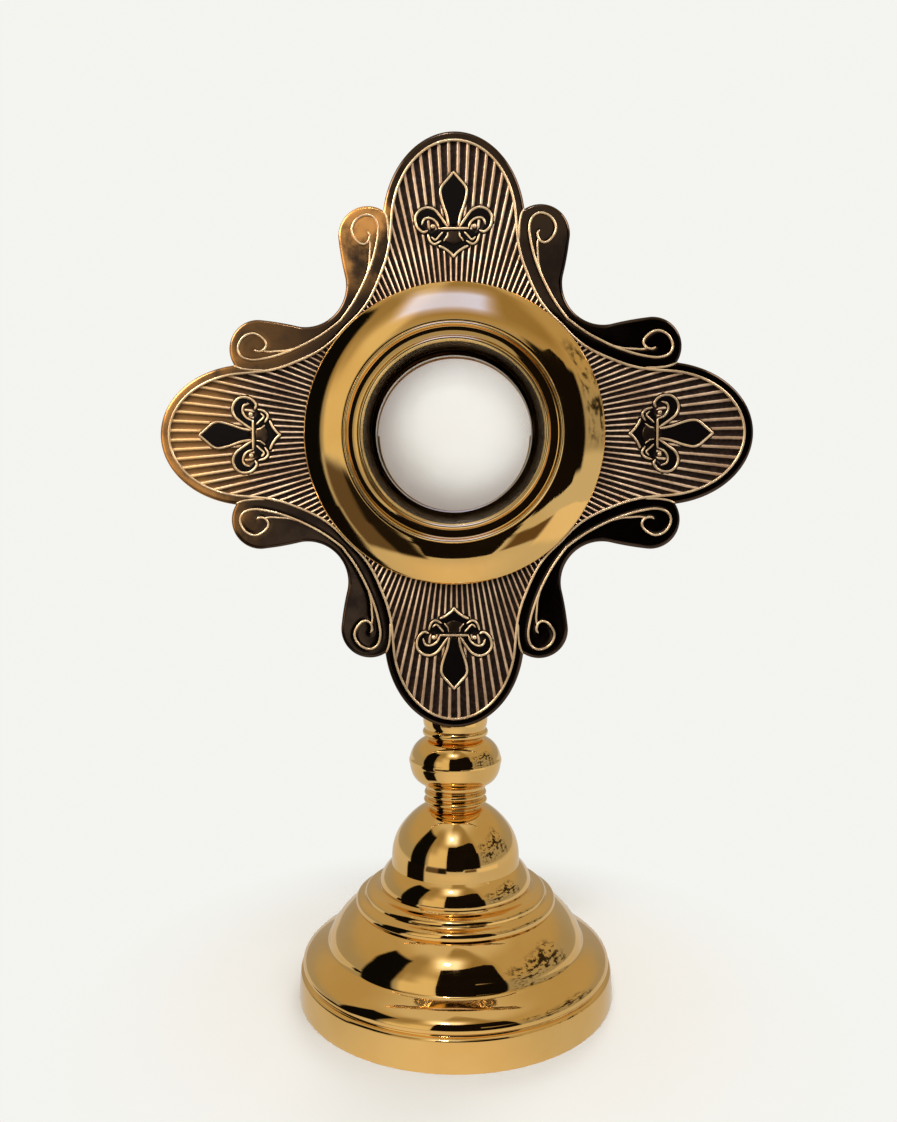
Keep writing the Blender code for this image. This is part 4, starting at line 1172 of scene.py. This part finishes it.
# Sectors of the floor's glow: azimuth from, to; distance over which it fades in, metres;
# distance over which it fades out again, or None; colour.
FLOOR_SECTORS = [(-88, -52, (0.10, 0.12), None, NEAR_BLACK),
                 (-50, -14, (0.27, 0.32), None, BROWN),
                 (-28, -14, (0.27, 0.32), None, DARK),
                 (38, 78, (0.28, 0.34), None, (0.84, 0.77, 0.68)),
                 (17, 37, (0.34, 0.37), (0.58, 0.62), (0.13, 0.085, 0.045)),
                 (-15, 16, (0.54, 0.57), None, NEAR_BLACK)]


def studio_world():
    """A plain backdrop for the camera, and a painted room for light and reflections."""
    world = bpy.data.worlds.new("studio")
    SCENE.world = world
    world.use_nodes = True
    net = Net(world.node_tree)
    x, y, z = net.split(net.coords("Generated"))
    azimuth = net.azimuth(x, y)
    elevation = net.calc("ARCSINE", z) * math.degrees(1)

    def patch(az0, az1, el0, el1, az_soft, el_soft):
        return (net.soft_band(azimuth, az0, az1, az_soft)
                * net.soft_band(elevation, el0, el1, el_soft))

    grey_wall, tan_wall, ceiling = (0.40, 0.385, 0.36), (0.50, 0.42, 0.285), (0.66, 0.62, 0.56)
    room = net.mix(net.ramp(elevation, lo=12, hi=32), grey_wall, tan_wall)
    room = net.mix(net.ramp(elevation, lo=55, hi=75), room, ceiling)
    for *box, strength, tone in ROOM_PATCHES:
        room = net.mix(patch(*box) * strength, room, tone)
    below, horizon = (0.66, 0.64, 0.62), (0.62, 0.61, 0.60)
    low = net.mix(net.ramp(elevation, lo=-60, hi=-20), below, horizon)
    for *box, tone in LOW_PATCHES:
        low = net.mix(patch(*box), low, tone)
    colour = net.mix(net.ramp(elevation, lo=-4, hi=0), low, room)
    for *box, tone in BLACK_PATCHES:
        colour = net.mix(patch(*box), colour, tone)
    # dark clutter on the right
    speck = net.noise(net.coords("Generated"), scale=7.5, detail=4, rough=0.72)
    clutter = patch(52, 112, 2, 38, 6, 6) * net.ramp(speck, lo=0.505, hi=0.545)
    colour = net.mix(clutter, colour, (0.03, 0.024, 0.018))
    lit = net.add("Background", {"Color": colour, "Strength": 1.0})
    seen = net.add("Background", {"Color": PALE, "Strength": 1.0})
    net.out(net.seen_or_lit(seen, lit), "OutputWorld")


def floor_material():
    """Pale paper near the foot that melts into the backdrop; reflections see a painted glow."""
    mat, net = new_material("floor_pale")
    point = net.coords()
    away = net.add("VectorMath", {0: point}, output="Value", operation="LENGTH")
    grain = net.noise(point, scale=30, detail=3, rough=0.5)
    paper = net.mix(grain, (0.865, 0.895, 0.925), (0.850, 0.880, 0.910))
    seen = net.mix_shader(net.ramp(away, lo=0.085, hi=0.185),
                          net.add("BsdfDiffuse", {"Color": paper}), net.emission(PALE))
    x, y, _ = net.split(point)
    azimuth = net.azimuth(x, y)
    near_glow, far_glow, front_glow = (0.60, 0.575, 0.54), (0.64, 0.62, 0.60), (0.84, 0.76, 0.66)
    glow = net.mix(net.ramp(away, lo=0.1, hi=0.5), near_glow, far_glow)
    front = (1.0 - net.ramp(abs(azimuth + 4.0), lo=8, hi=55)) * (
        1.0 - net.ramp(away, lo=0.16, hi=0.34))
    glow = net.mix(0.8 * front, glow, front_glow)
    for az0, az1, fade_in, fade_out, tone in FLOOR_SECTORS:
        mask = net.soft_band(azimuth, az0, az1, soft=2) * net.ramp(away, *fade_in)
        if fade_out:
            mask = mask * (1.0 - net.ramp(away, *fade_out))
        glow = net.mix(mask, glow, tone)
    net.out(net.seen_or_lit(seen, net.emission(glow)))
    return mat


def floor():
    """A disc of rings, just under the foot."""
    mat = floor_material()
    radii, segs = (0.1, 0.2, 0.35, 0.5, 0.64), 64
    verts = [(0, 0, 0)]
    for radius in radii:
        for i in range(segs):
            turn = 2 * math.pi * i / segs
            verts.append((radius * math.cos(turn), radius * math.sin(turn), 0))
    faces = [(0, 1 + i, 1 + (i + 1) % segs) for i in range(segs)]
    for k in range(len(radii) - 1):
        a, b = 1 + k * segs, 1 + (k + 1) * segs
        for i in range(segs):
            j = (i + 1) % segs
            faces.append((a + i, b + i, b + j, a + j))
    mesh = bpy.data.meshes.new("floor")
    mesh.from_pydata(verts, [], faces)
    mesh.materials.append(mat)
    obj = bpy.data.objects.new("floor", mesh)
    obj.location = (0, 0, -0.00005)
    SCENE.collection.objects.link(obj)


def lit_set(name, wanted):
    """A collection of the scene's meshes, by name, for a light to be limited to."""
    group = bpy.data.collections.new(name)
    for obj in list(SCENE.collection.objects):
        if obj.type == "MESH" and wanted(obj.name):
            group.objects.link(obj)
    return group


def point_at(obj, way, axis):
    obj.rotation_mode = "QUATERNION"
    obj.rotation_quaternion = way.to_track_quat(axis, "Y")


def area(name, azimuth, elevation, dist, size, power, colour, aim=(0, 0, 0.2), glossy=True,
         receivers=None):
    """A round area light, placed by its direction (degrees) and distance from its aim."""
    az, el = math.radians(azimuth), math.radians(elevation)
    way = Vector((math.sin(az) * math.cos(el), -math.cos(az) * math.cos(el), math.sin(el)))
    data = bpy.data.lights.new(name, "AREA")
    data.shape, data.size, data.energy, data.color = "DISK", size, power, colour
    obj = bpy.data.objects.new(name, data)
    SCENE.collection.objects.link(obj)
    obj.location = Vector(aim) + way * dist
    point_at(obj, -way, "-Z")
    obj.visible_glossy = glossy
    obj.visible_camera = False
    if receivers:
        obj.light_linking.receiver_collection = receivers


def card(name, verts, mat, location):
    """A flat studio card, seen in reflections only."""
    mesh = bpy.data.meshes.new(name)
    mesh.from_pydata(verts, [], [tuple(range(len(verts)))])
    mesh.materials.append(mat)
    obj = bpy.data.objects.new(name, mesh)
    SCENE.collection.objects.link(obj)
    obj.location = location
    obj.visible_camera = obj.visible_diffuse = obj.visible_shadow = False
    return obj


def dark_card():
    """A dark shape in front, near enough to shift between the dish and the foot."""
    outline = [(-0.072, 0.02), (0.075, 0.02), (0.095, 0.16), (0.27, 0.17), (0.27, 0.47),
               (0.20, 0.47), (0.10, 0.39), (0.02, 0.340), (-0.072, 0.335)]
    mat, net = new_material("card_dark")
    cloud = net.noise(net.coords(), scale=6, detail=2)
    net.out(net.emission(net.mix(cloud, (0.004, 0.003, 0.003), (0.010, 0.008, 0.007))))
    card("card_dark", [(x, 0.0, z) for x, z in outline], mat, (0, -0.30, 0))


def window_card(name, y, edge, middle, soft, receivers):
    """Soft-edged daylight high in front, added to whatever lies behind the card. The fade
    starts at the fraction soft of the half width."""
    half_w, half_h = 0.92 / 2, 0.98 / 2
    mat, net = new_material(name)
    x, z, _ = net.split(net.coords())
    fade_x = 1.0 - net.ramp(abs(x), lo=half_w * soft, hi=half_w * 0.98)
    fade_z = 1.0 - net.ramp(abs(z), lo=half_h * soft * 0.8, hi=half_h * 0.98)
    fade = fade_x * fade_z
    lit = net.emission(net.mix(fade ** 2.0, edge, middle), strength=fade)
    net.out(net.add("AddShader", {0: net.add("BsdfTransparent"), 1: lit}))
    verts = [(-half_w, -half_h, 0), (half_w, -half_h, 0), (half_w, half_h, 0),
             (-half_w, half_h, 0)]
    centre = Vector((-0.09, y, 1.30))
    obj = card(name, verts, mat, centre)
    point_at(obj, (Vector((0.0, 0.0, 0.20)) - centre).normalized(), "Z")
    obj.light_linking.receiver_collection = receivers


studio_world()
floor()
plate_set = lit_set("plate_lit", lambda name: name.startswith(
    ("glory_relief", "border_beads", "scroll_beads", "fleur_")))
dark_card()
dish_set = lit_set("dish_lit", lambda name: name == "dish_spun")
foot_set = lit_set("foot_lit", lambda name: name != "dish_spun")
window_card("card_window", y=-0.80, edge=(0.32, 0.36, 0.72), middle=(0.44, 0.80, 3.0),
            soft=0.50, receivers=dish_set)
window_card("card_window_warm", y=-0.801, edge=(0.50, 0.50, 0.46), middle=(1.10, 1.25, 1.75),
            soft=0.22, receivers=foot_set)
bulb_set = lit_set("bulb_lit", lambda name: name != "dish_spun")

GLORY_AIM = (0, 0, GLORY_Z * MM)
area("key_softbox", azimuth=-7, elevation=52, dist=1.3, size=0.42, power=8.0,
     colour=(1.0, 0.98, 0.97), glossy=False)
area("lamp_bulb", azimuth=-9, elevation=54, dist=1.22, size=0.10, power=1.1,
     colour=(1.0, 0.98, 0.95), receivers=bulb_set)
area("fill_softbox", azimuth=35, elevation=40, dist=2.0, size=1.4, power=8.0,
     colour=(1.0, 0.98, 0.95), glossy=False)
area("plate_softbox", azimuth=-62, elevation=34, dist=1.0, size=0.55, power=10.5,
     colour=(1.0, 0.87, 0.72), aim=GLORY_AIM, receivers=plate_set)
area("plate_softbox_right", azimuth=70, elevation=38, dist=1.1, size=0.5, power=5.0,
     colour=(1.0, 0.90, 0.84), aim=GLORY_AIM, receivers=plate_set)
area("plate_gold", azimuth=-52, elevation=2, dist=0.75, size=0.5, power=0.9,
     colour=(1.0, 0.70, 0.34), aim=(-0.05, 0, GLORY_Z * MM), receivers=plate_set)
area("back_softbox", azimuth=170, elevation=45, dist=2.0, size=1.0, power=9.0,
     colour=(1.0, 0.98, 0.96), glossy=False)

# =============================================================== camera
PITCH, YAW, ROLL = 0.05353193, -0.03336583, -0.00165499   # radians; pitch is downwards
CAMERA_AT = (0.011870, -0.447728, 0.226763)

forward = Vector((math.sin(YAW) * math.cos(PITCH), math.cos(YAW) * math.cos(PITCH),
                  -math.sin(PITCH)))
level_right = Vector((math.cos(YAW), -math.sin(YAW), 0))
level_up = level_right.cross(forward)
right = level_right * math.cos(ROLL) + level_up * math.sin(ROLL)
up = level_up * math.cos(ROLL) - level_right * math.sin(ROLL)
camera_data = bpy.data.cameras.new("camera")
camera_data.lens, camera_data.sensor_width = 30.85, 36.0
camera_data.clip_start, camera_data.clip_end = 0.01, 100.0
camera = bpy.data.objects.new("camera", camera_data)
SCENE.collection.objects.link(camera)
camera.matrix_world = Matrix([(right[i], up[i], -forward[i], CAMERA_AT[i]) for i in range(3)]
                             + [(0, 0, 0, 1)])
SCENE.camera = camera
SCENE.view_settings.view_transform = "Standard"
